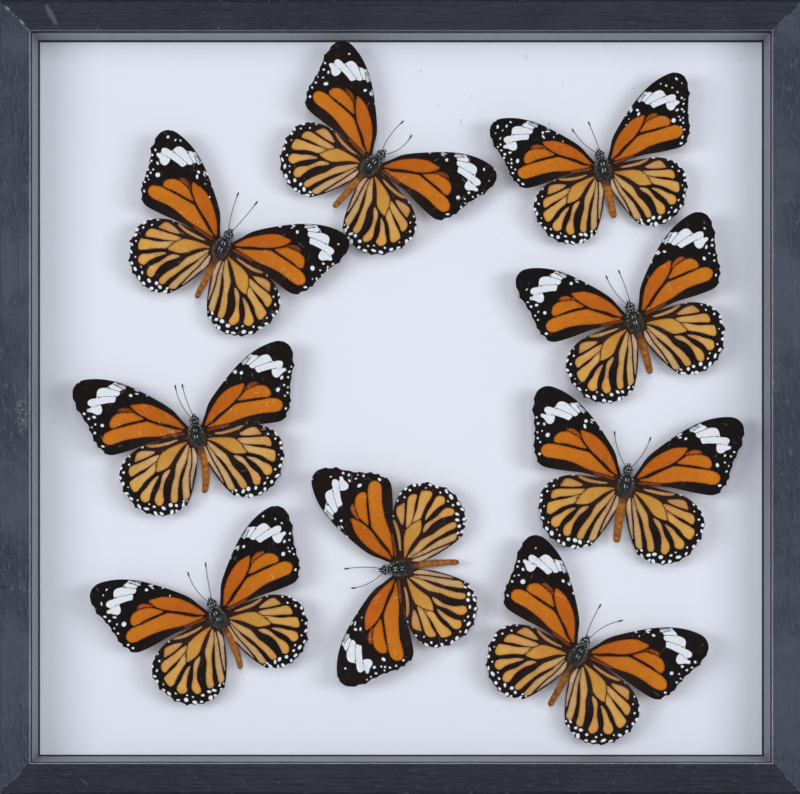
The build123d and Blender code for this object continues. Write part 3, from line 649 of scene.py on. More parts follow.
def abdomen_skin():
    """Dry orange-brown segments, darker in the grooves, towards the waist and on dusky bodies."""
    finish = Finish("abdomen_skin")
    chart = finish.node("ShaderNodeUVMap", {"uv_map": "body_map"})
    around, along, _ = finish.parts(chart)
    place = finish.place()
    grain = finish.noise(place, 1600, 4, 0.75)
    blot = finish.noise(place, 520, 4, 0.7)
    groove, dusk = finish.attribute("groove"), finish.attribute("dusk")
    colour = finish.mix(grain.ramp(0.34, 0.66), srgb(148, 78, 22), srgb(218, 142, 56))
    colour = finish.mix(blot.ramp(0.46, 0.64) * (0.45 + dusk * 0.55), colour, srgb(96, 52, 30))
    colour = finish.mix(dusk * 0.4, colour, srgb(104, 58, 36))
    colour = finish.mix(groove * 0.35, colour, srgb(92, 48, 26))
    waist = 1 - (along - dusk * 0.18).ramp(0.02, 0.24)
    colour = finish.mix(waist * 0.85, colour, srgb(46, 34, 30))
    tip_rings = along.ramp(0.72, 0.9) * groove
    colour = finish.mix(tip_rings * 0.7, colour, srgb(88, 34, 26))
    colour = finish.mix(along.ramp(0.93, 1.0) * 0.6, colour, srgb(62, 34, 24))
    return finish.surface(colour, 0.6 + grain * 0.2, grain * 0.0004, Specular_IOR_Level=0.2)


def plain_finish(name, low, high, roughness, scale=3000, relief=0.00001, **sockets):
    """Two tones of one colour mottled by fine noise."""
    finish = Finish(name)
    grain = finish.noise(finish.place(), scale, 3, 0.6)
    colour = finish.mix(grain.ramp(0.35, 0.65), srgb(*low), srgb(*high))
    return finish.surface(colour, roughness + grain * 0.1, grain * relief, **sockets)


# ---------------------------------------------------------------- curves
def smooth_line(points, step, closed=False):
    """Points about step apart on a smooth curve through the given ones."""
    pts = [np.array(p, float) for p in points]
    count = len(pts)
    last = count if closed else count - 1
    out = []
    for i in range(last):
        p1, p2 = pts[i], pts[(i + 1) % count]
        p0 = pts[i - 1] if closed or i else 2 * p1 - p2
        p3 = pts[(i + 2) % count] if closed or i + 2 < count else 2 * p2 - p1
        pieces = max(1, round(np.linalg.norm(p2 - p1) / step))
        for k in range(pieces):
            t = k / pieces
            out.append(0.5 * (
                2 * p1 + (p2 - p0) * t + (2 * p0 - 5 * p1 + 4 * p2 - p3) * t * t
                + (3 * p1 - p0 - 3 * p2 + p3) * t ** 3
            ))
    if not closed:
        out.append(pts[-1])
    return np.array(out)


def scalloped(points, depth, step):
    """A wing's margin: a small hollow between each two vein ends."""
    out = []
    for (x0, y0), (x1, y1) in zip(points, points[1:]):
        chord = math.hypot(x1 - x0, y1 - y0)
        pieces = max(3, round(chord / step))
        for k in range(pieces):
            t = k / pieces
            dip = depth * (1 - (2 * t - 1) ** 2)
            out.append((
                x0 + (x1 - x0) * t + (y1 - y0) / chord * dip,
                y0 + (y1 - y0) * t - (x1 - x0) / chord * dip,
            ))
    return np.array(out)


def depth_inside(points, loop):
    """How far each point lies inside a closed loop, negative outside it."""
    start, end = loop, np.roll(loop, -1, 0)
    run = end - start
    gap = points[:, None] - start[None]
    share = np.clip((gap * run).sum(2) / (run * run).sum(1), 0, 1)
    reach = np.sqrt(((gap - share[..., None] * run) ** 2).sum(2)).min(1)
    x, y = points[:, :1], points[:, 1:]
    rise = np.where(run[:, 1] == 0, 1e-9, run[:, 1])
    crossed = ((start[:, 1] > y) != (end[:, 1] > y)) & (
        x < run[:, 0] * (y - start[:, 1]) / rise + start[:, 0]
    )
    return np.where(crossed.sum(1) % 2, reach, -reach)


# ---------------------------------------------------------------- wings
OUTLINE_STEP = 0.35
MARK_STEP = 0.5
SHEET_STEP = 0.85
VEIN_MIDDLE = 0.3  # from a cell's edge to points in the dark beyond it
CELL_GROWTH, VEIN_WIDTH = 0.12, 0.34  # of the coloured cells, and least between two of them
BAND_GROWTH, BAND_LINE = 0.03, 0.2  # the same for segments of the white band
TOOTH = 0.26  # roughness of a wing's margin


class WingKind:
    """What every wing of a kind shares."""

    def __init__(self, name, costa, margin, trailing, cells, band, spots, extra):
        self.name = name
        self.costa, self.trailing = smooth_line(costa, OUTLINE_STEP)[:-1], smooth_line(trailing, OUTLINE_STEP)
        self.margin = scalloped(margin, SCALLOP, OUTLINE_STEP)
        self.cells, self.band, self.spots, self.extra = cells, band, spots, extra

    def rim(self, seed):
        """One wing's outline, its margin roughened inwards."""
        middle = np.array((14.0, 2.0))
        rough = []
        for point in self.margin:
            place = Vector((point[0] * 1.3, point[1] * 1.3, seed))
            bite = TOOTH * (0.5 + noise.noise(place)) + 0.3 * max(0.0, noise.noise(place * 0.31) - 0.2)
            inwards = middle - point
            rough.append(point + inwards / np.linalg.norm(inwards) * max(0.0, bite))
        return np.vstack([self.costa, rough, self.trailing])[::-1]


FORE = WingKind("fore", FORE_COSTA, FORE_MARGIN, FORE_REAR, FORE_CELLS, FORE_BAND, FORE_SPOTS,
                FORE_EXTRA_SPOTS)
HIND = WingKind("hind", HIND_COSTA, HIND_MARGIN, HIND_INNER, HIND_CELLS, [], HIND_SPOTS, [])


def drifted(points, seed, amount):
    """The points moved a little, near ones together."""
    return np.array([
        (x + amount * noise.noise(Vector((x * 0.12, y * 0.12, seed))),
         y + amount * noise.noise(Vector((x * 0.12, y * 0.12, seed + 40))))
        for x, y in points
    ])


def offset_ring(loop, distance):
    """The loop's points moved outwards from it."""
    ahead = np.roll(loop, -1, 0) - np.roll(loop, 1, 0)
    ahead /= np.maximum(np.linalg.norm(ahead, axis=1, keepdims=True), 1e-6)
    aside = np.column_stack([ahead[:, 1], -ahead[:, 0]]) * distance
    outside = depth_inside(loop + aside, loop) < 0
    return np.where(outside[:, None], loop + aside, loop - aside)


def middles_between(loops, reach):
    """Points half way from each loop to the nearest other one, where they are within reach."""
    found = []
    for index, loop in enumerate(loops):
        others = np.vstack([other for i, other in enumerate(loops) if i != index])
        gap = np.sqrt(((loop[:, None] - others[None]) ** 2).sum(2))
        nearest = gap.argmin(1)
        close = gap.min(1) < reach
        found.append((loop[close] + others[nearest[close]]) / 2)
    return np.vstack(found)


def parted(depths, growth, line):
    """Depth inside the deepest of several grown shapes that keep a line between them."""
    ranked = np.sort(depths, 0)
    return np.minimum(ranked[-1] + growth, (ranked[-1] - ranked[-2] - line) / 2)


def wing_sheet(kind, seed, specimen, shift, pale):
    """One wing's flat mesh and what its finish reads at each point."""
    rnd = random.Random(seed)
    rim = kind.rim(seed)
    cells = [
        (near, far, smooth_line(drifted(np.array(loop), seed, 0.35), MARK_STEP, True))
        for near, far, loop in kind.cells
    ]
    band = [
        smooth_line(drifted(np.array(loop) + (shift, 0), seed, 0.2), MARK_STEP, True)
        for loop in kind.band
    ]
    chosen = kind.spots + [s for s in kind.extra if rnd.random() < specimen["extra"]]
    spots = []
    for x, y, a, b in chosen:
        moved = shift if 20 < x < TIP_X else 0.0
        spots.append((
            x + moved + rnd.uniform(-0.2, 0.2), y + rnd.uniform(-0.2, 0.2),
            a * rnd.uniform(0.75, 1.2), b * rnd.uniform(0.75, 1.2), rnd.uniform(-0.5, 0.5),
        ))
    low, high = rim.min(0), rim.max(0)
    rows = []
    for row in range(int((high[1] - low[1]) / SHEET_STEP) + 1):
        y = low[1] + row * SHEET_STEP * 0.95
        xs = np.arange(low[0] + (row % 2) * SHEET_STEP / 2, high[0], SHEET_STEP)
        rows += [(x, y) for x in xs]
    grid = np.array(rows)
    loops = [c[2] for c in cells]
    veins = np.vstack([offset_ring(loop, VEIN_MIDDLE) for loop in loops])
    veins = veins[np.array([depth_inside(veins, loop) for loop in loops]).max(0) < -0.2]
    for loop in loops + band:
        grid = grid[np.abs(depth_inside(grid, loop)) > 0.38]
    marks = loops + band + [veins, middles_between(loops, 1.0)]
    if band:
        marks.append(middles_between(band, 0.6))
    for x, y, a, b, tilt in spots:
        turn = np.arange(8) * math.tau / 8
        spin = np.array(((math.cos(tilt), math.sin(tilt)), (-math.sin(tilt), math.cos(tilt))))
        ring = np.column_stack([np.cos(turn), np.sin(turn)])
        grid = grid[(((grid - (x, y)) @ spin.T / (a + 0.35, b + 0.35)) ** 2).sum(1) > 1]
        marks += [
            np.array([(x, y)]), ring * (a * 0.6, b * 0.6) @ spin + (x, y),
            ring * (a, b) @ spin + (x, y), ring * (a + 0.22, b + 0.22) @ spin + (x, y),
        ]
    inner = np.vstack([grid] + marks)
    inner = inner[depth_inside(inner, rim) > 0.2]
    flat = [Vector(p) for p in np.vstack([rim, inner])]
    count = len(rim)
    verts, _, faces, _, _, _ = delaunay_2d_cdt(flat, [], [list(range(count))], 1, 1e-4, False)
    points = np.array([tuple(v) for v in verts])
    centres = np.array([points[list(face)].mean(0) for face in faces])
    faces = [face for face, depth in zip(faces, depth_inside(centres, rim)) if depth > 0]

    depths = np.array([depth_inside(points, loop) for loop in loops])
    nearest = depths.argmax(0)
    colour = np.zeros((len(points), 4))
    for index, (near, far, loop) in enumerate(cells):
        start, end = loop[:, 0].min(), loop[:, 0].max()
        share = np.clip((points[:, 0] - start) / (end - start), 0, 1)[:, None]
        near, far = np.array(srgb(*near)), np.array(srgb(*far))
        if kind is FORE and index == EMBER_CELL:
            near, far = (c * specimen["ember"] + np.array(srgb(*EMBER_DARK)) * (1 - specimen["ember"])
                         for c in (near, far))
        if kind is HIND and index > 1:
            near = near * (1 - pale * 0.5) + np.array(srgb(*HIND_CREAM)) * pale * 0.5
        colour = np.where((nearest == index)[:, None], near * (1 - share) + far * share, colour)
    white = []
    if band:
        white.append(parted(np.array([depth_inside(points, loop) for loop in band]), BAND_GROWTH, BAND_LINE))
    for x, y, a, b, tilt in spots:
        spin = np.array(((math.cos(tilt), math.sin(tilt)), (-math.sin(tilt), math.cos(tilt))))
        away = (points - (x, y)) @ spin.T / (a, b)
        white.append((1 - np.sqrt((away ** 2).sum(1))) * min(a, b))
    x, y = points.T
    if kind is FORE:
        rag = np.clip(0.12 + (x - 14) * 0.03, 0.12, 0.5)
        rag[nearest == EMBER_CELL] = 0.6
        shade = np.clip(0.85 - x / 30, 0, 1) * np.clip(0.4 - y / 6, 0.35, 1)
    else:
        rag = np.full(len(x), 0.15) + np.clip(x - 16, 0, 10) * 0.014
        shade = np.clip(0.75 - (x - 6) / 24, 0.15, 1)
    shade = shade + specimen["brown"] * 0.3
    return points, faces, count, {
        "cell_edge": parted(depths, CELL_GROWTH, VEIN_WIDTH), "spot_edge": np.max(white, 0), "rag": rag, "shade": shade,
        "seed": np.full(len(x), seed * 1.37), "worn": np.full(len(x), specimen["worn"]),
    }, colour


def specimen_axes(specimen):
    turn = math.radians(specimen["heading"])
    return (
        Vector((math.cos(turn), 0, -math.sin(turn))),
        Vector((math.sin(turn), 0, math.cos(turn))),
        Vector((0, -1, 0)),
    )


def specimen_origin(specimen):
    return Vector((specimen["x"] * MM, FACING_Y, CASE_MIDDLE_Z + specimen["z"] * MM))


def new_mesh_object(name, verts, faces):
    mesh = bpy.data.meshes.new(name)
    mesh.from_pydata([tuple(v) for v in verts], [], faces)
    mesh.validate()
    piece = bpy.data.objects.new(name, mesh)
    bpy.context.scene.collection.objects.link(piece)
    return piece


def add_values(mesh, name, values):
    layer = mesh.attributes.new(name, "FLOAT", "POINT")
    layer.data.foreach_set("value", np.asarray(values, np.float32))


def make_wing_pair(number, specimen, kind, root, angles, settings):
    """Left and right wing of one kind as one piece, in place."""
    across, ahead, up = specimen_axes(specimen)
    rise = math.radians(WING_RISE)
    half = settings.wing_thickness / 2
    places, faces, charts, colours = [], [], [], []
    values = {}
    for side, angle, shift in zip((-1, 1), angles, specimen["band"]):
        seed = number * 4 + (side + 1) // 2 + (2 if kind is HIND else 0)
        points, triangles, count, marks, colour = wing_sheet(
            kind, seed, specimen, shift if kind is FORE else 0.0, specimen["cream"] * settings.cream)
        turn = math.radians(angle)
        outwards = across * (side * math.cos(rise)) + up * math.sin(rise)
        along = np.array(outwards * math.cos(turn) + ahead * math.sin(turn))
        forward = np.array(ahead * math.cos(turn) - outwards * math.sin(turn))
        normal = np.array(up * math.cos(rise) - across * (side * math.sin(rise)))
        origin = np.array(
            specimen_origin(specimen)
            + (across * (side * root[0]) + ahead * root[1] + up * root[2]) * MM
        )
        x, y = points.T
        bend = 0.28 * np.sin(np.clip(x, 0, 46) / 46 * math.pi)
        bend += np.array([0.35 * noise.noise(Vector((a * 0.09, b * 0.09, seed * 3.1))) for a, b in points])
        bend += 0.07 * np.exp(-((marks["cell_edge"] + 0.5) / 0.45) ** 2)
        size = specimen["size"]
        base = origin + (np.outer(x, along) + np.outer(y, forward)) * (size * MM) + np.outer(bend, normal) * MM
        start = sum(len(p) for p in places)
        n = len(points)
        places += [base + normal * half, base - normal * half]
        skin = [tuple(start + i for i in t) for t in triangles]
        skin += [tuple(start + n + i for i in reversed(t)) for t in triangles]
        skin += [
            (start + i, start + n + i, start + n + (i + 1) % count, start + (i + 1) % count)
            for i in range(count)
        ]
        faces += [tuple(reversed(f)) for f in skin] if side < 0 else skin
        charts += [points / 50, points / 50]
        colours += [colour, colour]
        for key, column in marks.items():
            values.setdefault(key, []).extend([column, column])
    piece = new_mesh_object(f"specimen_{number}_{kind.name}wings", np.vstack(places), faces)
    mesh = piece.data
    for key, columns in values.items():
        add_values(mesh, key, np.concatenate(columns))
    layer = mesh.attributes.new("cell_colour", "FLOAT_COLOR", "POINT")
    layer.data.foreach_set("color", np.vstack(colours).astype(np.float32).ravel())
    chart = np.vstack(charts)
    corners = np.zeros(len(mesh.loops), int)
    mesh.loops.foreach_get("vertex_index", corners)
    mesh.uv_layers.new(name="wing_map").data.foreach_set("uv", chart[corners].astype(np.float32).ravel())
    mesh.shade_smooth()
    mesh.set_sharp_from_angle(angle=math.radians(40))
    return piece


# ---------------------------------------------------------------- bodies
def ring_surface(rings):
    """Points and faces of a closed skin over rings of equal count, with its ends drawn in."""
    count = len(rings[0])
    verts = [tuple(p) for ring in rings for p in ring]
    faces = []
    for r in range(len(rings) - 1):
        for k in range(count):
            a, b = r * count + k, r * count + (k + 1) % count
            faces.append((a, b, b + count, a + count))
    for ring, flip in ((0, True), (len(rings) - 1, False)):
        pole = len(verts)
        verts.append(tuple(np.mean([verts[ring * count + k] for k in range(count)], 0)))
        for k in range(count):
            a, b = ring * count + k, ring * count + (k + 1) % count
            faces.append((b, a, pole) if flip else (a, b, pole))
    return verts, faces


def width_profile(points, y):
    ys, ws = zip(*reversed(points))
    return float(np.interp(y, ys, ws))


def body_shape(specimen, y):
    """Half width of the body at y, how far aside it bows, and how deep in a groove it is."""
    tail = HEAD_Y - specimen["length"]
    past = max(0.0, (THORAX_Y - y) / (THORAX_Y - tail))
    aside = specimen["bow"] * 4 * past * (1 - past)
    if y >= WAIST_Y:
        return width_profile(FORE_BODY, y), aside, 0.0
    share = (WAIST_Y - y) / (WAIST_Y - tail)
    girth = specimen["girth"]
    waist = FORE_BODY[-1][1] / girth
    full = girth * (1 - (1 - ABDOMEN_TAPER) * share * share)
    full *= float(np.interp(
        share, (0, 0.05, 0.14, 0.2, 0.9, 0.96, 0.99, 1),
        (waist, ABDOMEN_FRONT, ABDOMEN_FRONT, 1, 1, 0.9, 0.7, ABDOMEN_END),
    ))
    groove = abs(math.cos(share * ABDOMEN_SEGMENTS * math.pi)) ** 6
    return full * (1 - 0.06 * groove), aside, groove


BODY_RING = 28


def body_ring(specimen, seed, y, grow=0.0):
    width, aside, _ = body_shape(specimen, y)
    width += grow
    across, ahead, up = specimen_axes(specimen)
    middle = specimen_origin(specimen) + (across * aside + ahead * y + up * BODY_HEIGHT) * MM
    ring = []
    for k in range(BODY_RING):
        turn = math.tau * k / BODY_RING
        lump = 1 + 0.05 * noise.noise(Vector((math.cos(turn) * 1.4, math.sin(turn) * 1.4, y * 0.9 + seed)))
        flat = BODY_FLATNESS * width * lump
        ring.append(middle + (across * (width * lump * math.cos(turn)) + up * (flat * math.sin(turn))) * MM)
    return ring


def ball(middle, across, ahead, up, radii, sides=12, rows=7):
    """A closed ellipsoid at middle, radii along the three directions."""
    rings = []
    for r in range(1, rows):
        tilt = math.pi * r / rows
        rings.append([
            middle + (
                across * (radii[0] * math.sin(tilt) * math.cos(math.tau * k / sides))
                + up * (radii[2] * math.sin(tilt) * math.sin(math.tau * k / sides))
                + ahead * (radii[1] * math.cos(tilt))
            ) * MM
            for k in range(sides)
        ])
    return ring_surface(rings)


def join_shells(name, shells):
    """One object from (points, faces, material index) shells."""
    verts, faces, slots = [], [], []
    for points, skin, slot in shells:
        start = len(verts)
        verts += points
        faces += [tuple(start + i for i in f) for f in skin]
        slots += [slot] * len(skin)
    piece = new_mesh_object(name, verts, faces)
    piece.data.polygons.foreach_set("material_index", slots)
    piece.data.shade_smooth()
    return piece


def make_body(number, specimen):
    """Head, thorax, abdomen, eyes, palps and white tufts of one specimen."""
    across, ahead, up = specimen_axes(specimen)
    origin = specimen_origin(specimen)
    tail = HEAD_Y - specimen["length"]
    stations = list(np.arange(5.6, WAIST_Y - 0.01, -0.3)) + list(np.linspace(WAIST_Y - 0.2, tail, 64))
    verts, faces = ring_surface([body_ring(specimen, number, y) for y in stations])
    split = sum(1 for y in stations if y >= WAIST_Y) * BODY_RING
    shells = [(verts, faces, 0)]

    def spot(side, x, y):
        width, _, _ = body_shape(specimen, y)
        height = BODY_HEIGHT + BODY_FLATNESS * width * math.sqrt(max(0.02, 1 - (x / width) ** 2))
        return origin + (across * (side * x) + ahead * y + up * height) * MM

    for side in (-1, 1):
        eye = origin + (across * (side * 1.25) + ahead * 4.15 + up * (BODY_HEIGHT + 0.15)) * MM
        shells.append((*ball(eye, across, ahead, up, (0.62, 0.78, 0.8)), 2))
        palp = origin + (across * (side * 0.4) + ahead * 5.7 + up * (BODY_HEIGHT + 0.1)) * MM
        shells.append((*ball(palp, across, ahead, up, (0.28, 0.95, 0.3), 10, 6), 0))
    rnd = random.Random(number)
    for x, y, a, b in TUFTS:
        for side in (-1, 1) if x > 0.01 else (1,):
            grow = rnd.uniform(0.8, 1.15)
            middle = spot(side, x + rnd.uniform(-0.08, 0.08), y + rnd.uniform(-0.1, 0.1))
            shells.append((*ball(middle, across, ahead, up, (a * grow, b * grow, 0.14), 8, 5), 3))
    piece = join_shells(f"specimen_{number}_body", shells)
    mesh = piece.data
    skin_count = len(faces)
    for polygon in mesh.polygons[:skin_count]:
        if min(polygon.vertices) >= split - BODY_RING and max(polygon.vertices) >= split:
            polygon.material_index = 1
    total = len(mesh.vertices)
    groove = np.zeros(total)
    along = np.zeros(total)
    for r, y in enumerate(stations):
        groove[r * BODY_RING:(r + 1) * BODY_RING] = body_shape(specimen, y)[2]
        along[r * BODY_RING:(r + 1) * BODY_RING] = (WAIST_Y - y) / (WAIST_Y - tail)
    along[len(stations) * BODY_RING + 1] = 1.0
    add_values(mesh, "groove", groove)
    add_values(mesh, "dusk", np.full(total, specimen["dusk"]))
    layer = mesh.uv_layers.new(name="body_map")
    for loop in mesh.loops:
        k = loop.vertex_index
        layer.data[loop.index].uv = ((k % BODY_RING) / BODY_RING, along[k])
    return piece


def make_antennae(number, specimen):
    """Two ringed antennae that thicken to a club."""
    across, ahead, up = specimen_axes(specimen)
    origin = specimen_origin(specimen)
    shells = []
    sides, stations = 8, 46
    for side, (length, angle, bend) in zip((-1, 1), specimen["antennae"]):
        turn = math.radians(angle)
        base = across * (side * 0.45) + ahead * 4.3 + up * 7.3
        tip = across * (length * math.sin(turn)) + ahead * (HEAD_Y + length * math.cos(turn)) + up * 8.8
        bow = (across * math.cos(turn) - ahead * math.sin(turn)) * (side * bend)
        rings = []
        for r in range(stations + 1):
            t = r / stations
            middle = base.lerp(tip, t) + bow * (4 * t * (1 - t))
            heading = (tip - base + bow * (4 - 8 * t)).normalized()
            beside = heading.cross(up).normalized()
            over = heading.cross(beside)
            girth = 0.15 + 0.2 * max(0.0, min(1.0, (t - 0.84) / 0.08)) ** 1.5
            if t > 0.96:
                girth *= math.sqrt(max(0.05, 1 - ((t - 0.96) / 0.045) ** 2))
            girth *= 1 - 0.12 * (r % 2)
            rings.append([
                origin + (middle + (beside * math.cos(math.tau * k / sides)
                                    + over * math.sin(math.tau * k / sides)) * girth) * MM
                for k in range(sides)
            ])
        shells.append((*ring_surface(rings), 0))
    return join_shells(f"specimen_{number}_antennae", shells)


# ---------------------------------------------------------------- fur
def hair_tree():
    """Tapered hairs scattered over a skin, swept to one side."""
    tree = bpy.data.node_groups.new("swept_hairs", "GeometryNodeTree")
    face = tree.interface
    face.new_socket("Skin", in_out="INPUT", socket_type="NodeSocketGeometry")
    face.new_socket("Hairs", in_out="OUTPUT", socket_type="NodeSocketGeometry")
    for name, kind in (
        ("Hairs per square metre", "NodeSocketFloat"), ("Hair length", "NodeSocketFloat"),
        ("Hair width", "NodeSocketFloat"), ("Sweep", "NodeSocketVector"),
        ("Seed", "NodeSocketInt"), ("Hair finish", "NodeSocketMaterial"),
    ):
        face.new_socket(name, in_out="INPUT", socket_type=kind)
    nodes, links = tree.nodes, tree.links

    def add(kind, settings=None, **sockets):
        node = nodes.new(kind)
        for key, value in (settings or {}).items():
            setattr(node, key, value)
        for key, value in sockets.items():
            socket = node.inputs[key.replace("_", " ")]
            if isinstance(value, bpy.types.NodeSocket):
                links.new(value, socket)
            else:
                socket.default_value = value
        return node.outputs

    given = add("NodeGroupInput")
    scatter = add(
        "GeometryNodeDistributePointsOnFaces", None, Mesh=given["Skin"],
        Density=given["Hairs per square metre"], Seed=given["Seed"],
    )
    lean = nodes.new("ShaderNodeVectorMath")
    links.new(scatter["Normal"], lean.inputs[0])
    links.new(given["Sweep"], lean.inputs[1])
    stray = add("FunctionNodeRandomValue", {"data_type": "FLOAT_VECTOR"}, Seed=given["Seed"])
    random_node = stray[0].node
    random_node.inputs[0].default_value = (-0.45, -0.45, -0.45)
    random_node.inputs[1].default_value = (0.45, 0.45, 0.45)
    swept = nodes.new("ShaderNodeVectorMath")
    links.new(lean.outputs[0], swept.inputs[0])
    links.new(stray[0], swept.inputs[1])
    turn = add("FunctionNodeAlignRotationToVector", {"axis": "Z"}, Vector=swept.outputs[0])
    hair = add(
        "GeometryNodeMeshCone", {"fill_type": "NGON"}, Vertices=3, Radius_Top=0.0,
        Radius_Bottom=given["Hair width"], Depth=given["Hair length"],
    )
    spread = add("FunctionNodeRandomValue", {"data_type": "FLOAT"}, Seed=given["Seed"])
    spread_node = spread[1].node
    spread_node.inputs[2].default_value = 0.45
    spread_node.inputs[3].default_value = 1.15
    planted = add(
        "GeometryNodeInstanceOnPoints", None, Points=scatter["Points"], Instance=hair["Mesh"],
        Rotation=turn["Rotation"], Scale=spread[1],
    )
    real = add("GeometryNodeRealizeInstances", None, Geometry=planted["Instances"])
    dressed = add("GeometryNodeSetMaterial", None, Geometry=real["Geometry"], Material=given["Hair finish"])
    result = nodes.new("NodeGroupOutput")
    links.new(dressed["Geometry"], result.inputs["Hairs"])
    return tree


def grow(tree, skin, name, **inputs):
    """The result of a node tree on a skin, as a plain mesh object. The skin is used up."""
    modifier = skin.modifiers.new("growth", "NODES")
    modifier.node_group = tree
    sockets = {s.name: s.identifier for s in tree.interface.items_tree if s.in_out == "INPUT"}
    for key, value in inputs.items():
        modifier[sockets[key.replace("_", " ")]] = value
    skin.update_tag()
    view = bpy.context.evaluated_depsgraph_get()
    mesh = bpy.data.meshes.new_from_object(skin.evaluated_get(view), depsgraph=view)
    skin.modifiers.clear()
    bpy.data.objects.remove(skin)
    mesh.name = name
    piece = bpy.data.objects.new(name, mesh)
    bpy.context.scene.collection.objects.link(piece)
    return piece


# ---------------------------------------------------------------- settings
class DisplayCaseSettings(bpy.types.PropertyGroup):
    """Colours and sizes of the case that a user may change."""

    paint: FloatVectorProperty(
        name="Frame paint", description="Colour of the painted rails", subtype="COLOR", size=4,
        min=0, max=1, default=srgb(53, 59, 75))
    paper: FloatVectorProperty(
        name="Paper", description="Colour of the sheet behind the specimens", subtype="COLOR",
        size=4, min=0, max=1, default=srgb(234, 235, 248))
    spacer: FloatVectorProperty(
        name="Spacer", description="Colour of the strips inside the frame", subtype="COLOR",
        size=4, min=0, max=1, default=srgb(133, 137, 147))
    wing_black: FloatVectorProperty(
        name="Wing black", description="Dark scales near the wing tips", subtype="COLOR", size=4,
        min=0, max=1, default=srgb(18, 14, 15))
    wing_brown: FloatVectorProperty(
        name="Wing brown", description="Dark scales near the wing roots", subtype="COLOR", size=4,
        min=0, max=1, default=srgb(46, 28, 24))
    wing_thickness: FloatProperty(
        name="Wing thickness", description="Thickness of a wing", subtype="DISTANCE",
        unit="LENGTH", min=0.00005, max=0.0004, default=0.00014)
    cream: FloatProperty(
        name="Cream roots", description="How pale the hindwings may get near the body",
        subtype="FACTOR", min=0, max=1, default=1.0)
    fur_density: FloatProperty(
        name="Fur density", description="Hairs for each square metre of thorax", min=0,
        default=1.1e7)
    fur_length: FloatProperty(
        name="Fur length", description="Length of the longest thorax hairs", subtype="DISTANCE",
        unit="LENGTH", min=0.0001, default=0.0013)
    lamp_power: FloatProperty(
        name="Lamp power", description="Power of each of the two side lamps", unit="POWER",
        min=0, default=4.15)
    seed: IntProperty(name="Seed", description="Changes where the hairs stand", min=0, default=3)


def settings():
    return bpy.context.scene.display_case


def dress(material, *nodes):
    """Gives CAD nodes a finish. Their meshes stay."""
    for name in nodes:
        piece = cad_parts[name]
        if not piece.material_slots:
            piece.data.materials.append(material)
        for slot in piece.material_slots:
            slot.material = material


def seat(piece, node, materials):
    """Finishes a specimen's piece: its materials, its body and the node it stands for."""
    for material in materials:
        piece.data.materials.append(material)
    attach(piece, "case")
    if node:
        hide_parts(node)


# ---------------------------------------------------------------- operators
class PaintRails(bpy.types.Operator):
    """Paint the four rails of the frame"""

    bl_idname = "display_case.paint_rails"
    bl_label = "Paint rails"

    def execute(self, context):
        paint = tuple(settings().paint)
        # The top and bottom rails get the paint darkened as painted shade, with less sheen, so that they look less lit
        # than the uprights.
        darker = tuple(value * 0.44 for value in paint[:3]) + (1.0,)
        dress(rail_paint("rail_paint_upright_lit", True, paint, 0.3), "rail_left", "rail_right")
        dress(rail_paint("rail_paint_level_shaded", False, darker, 0.22), "rail_top", "rail_bottom")
        return {"FINISHED"}


class FitGlass(bpy.types.Operator):
    """Give the front pane its glass"""

    bl_idname = "display_case.fit_glass"
    bl_label = "Fit glass"

    def execute(self, context):
        dress(pane_glass(), "front_glass")
        return {"FINISHED"}


class LineBox(bpy.types.Operator):
    """Finish the spacers, gasket, paper, board and back panel"""

    bl_idname = "display_case.line_box"
    bl_label = "Line box"

    def execute(self, context):
        chosen = settings()
        dress(spacer_plastic(tuple(chosen.spacer)), "spacer_top", "spacer_bottom", "spacer_left",
              "spacer_right")
        dress(gasket_foam(), "board_gasket")
        dress(facing_paper(tuple(chosen.paper)), "board_facing")
        dress(foam_core(), "mount_board")
        dress(hardboard(), "back_panel")
        return {"FINISHED"}


class FinishHardware(bpy.types.Operator):
    """Finish the nails, screws, turn buttons, hanger, pins and bumpers"""

    bl_idname = "display_case.finish_hardware"
    bl_label = "Finish hardware"

    def execute(self, context):
        dress(zinc_steel(), "corner_nails", "turn_button_screws", "hanger_screws", "hanger_plate",
              "hanger_ring", "insect_pins", *(f"turn_button_{n}" for n in range(1, 5)))
        dress(bumper_rubber(), "wall_bumpers")
        return {"FINISHED"}


class SpreadWings(bpy.types.Operator):
    """Make the fore and hind wings of every specimen"""

    bl_idname = "display_case.spread_wings"
    bl_label = "Spread wings"

    def execute(self, context):
        chosen = settings()
        dark, brown = tuple(chosen.wing_black), tuple(chosen.wing_brown)
        fore, hind = wing_scales("forewing_scales", dark, brown), wing_scales("hindwing_scales", dark, brown)
        for number, specimen in enumerate(SPECIMENS, start=1):
            pair = make_wing_pair(number, specimen, FORE, FORE_ROOT, specimen["fore"], chosen)
            seat(pair, f"butterfly_{number}_forewings", [fore])
            angles = [-angle for angle in specimen["hind"]]
            pair = make_wing_pair(number, specimen, HIND, HIND_ROOT, angles, chosen)
            seat(pair, f"butterfly_{number}_hindwings", [hind])
        return {"FINISHED"}


class ShapeBodies(bpy.types.Operator):
    """Make the bodies and antennae of every specimen"""

    bl_idname = "display_case.shape_bodies"
    bl_label = "Shape bodies"

    def execute(self, context):
        fur, skin = body_fur(), abdomen_skin()
        eye = plain_finish("eye_shell", (10, 9, 9), (26, 24, 24), 0.25)
        tuft = plain_finish("white_scales", (214, 216, 220), (240, 241, 244), 0.7, relief=0.00005)
        feeler = plain_finish("antenna_shell", (24, 22, 22), (62, 60, 62), 0.5)
        for number, specimen in enumerate(SPECIMENS, start=1):
            seat(make_body(number, specimen), f"butterfly_{number}_body",
                 [fur, skin, eye, tuft])
            seat(make_antennae(number, specimen), f"butterfly_{number}_antennae",
                 [feeler])
        return {"FINISHED"}


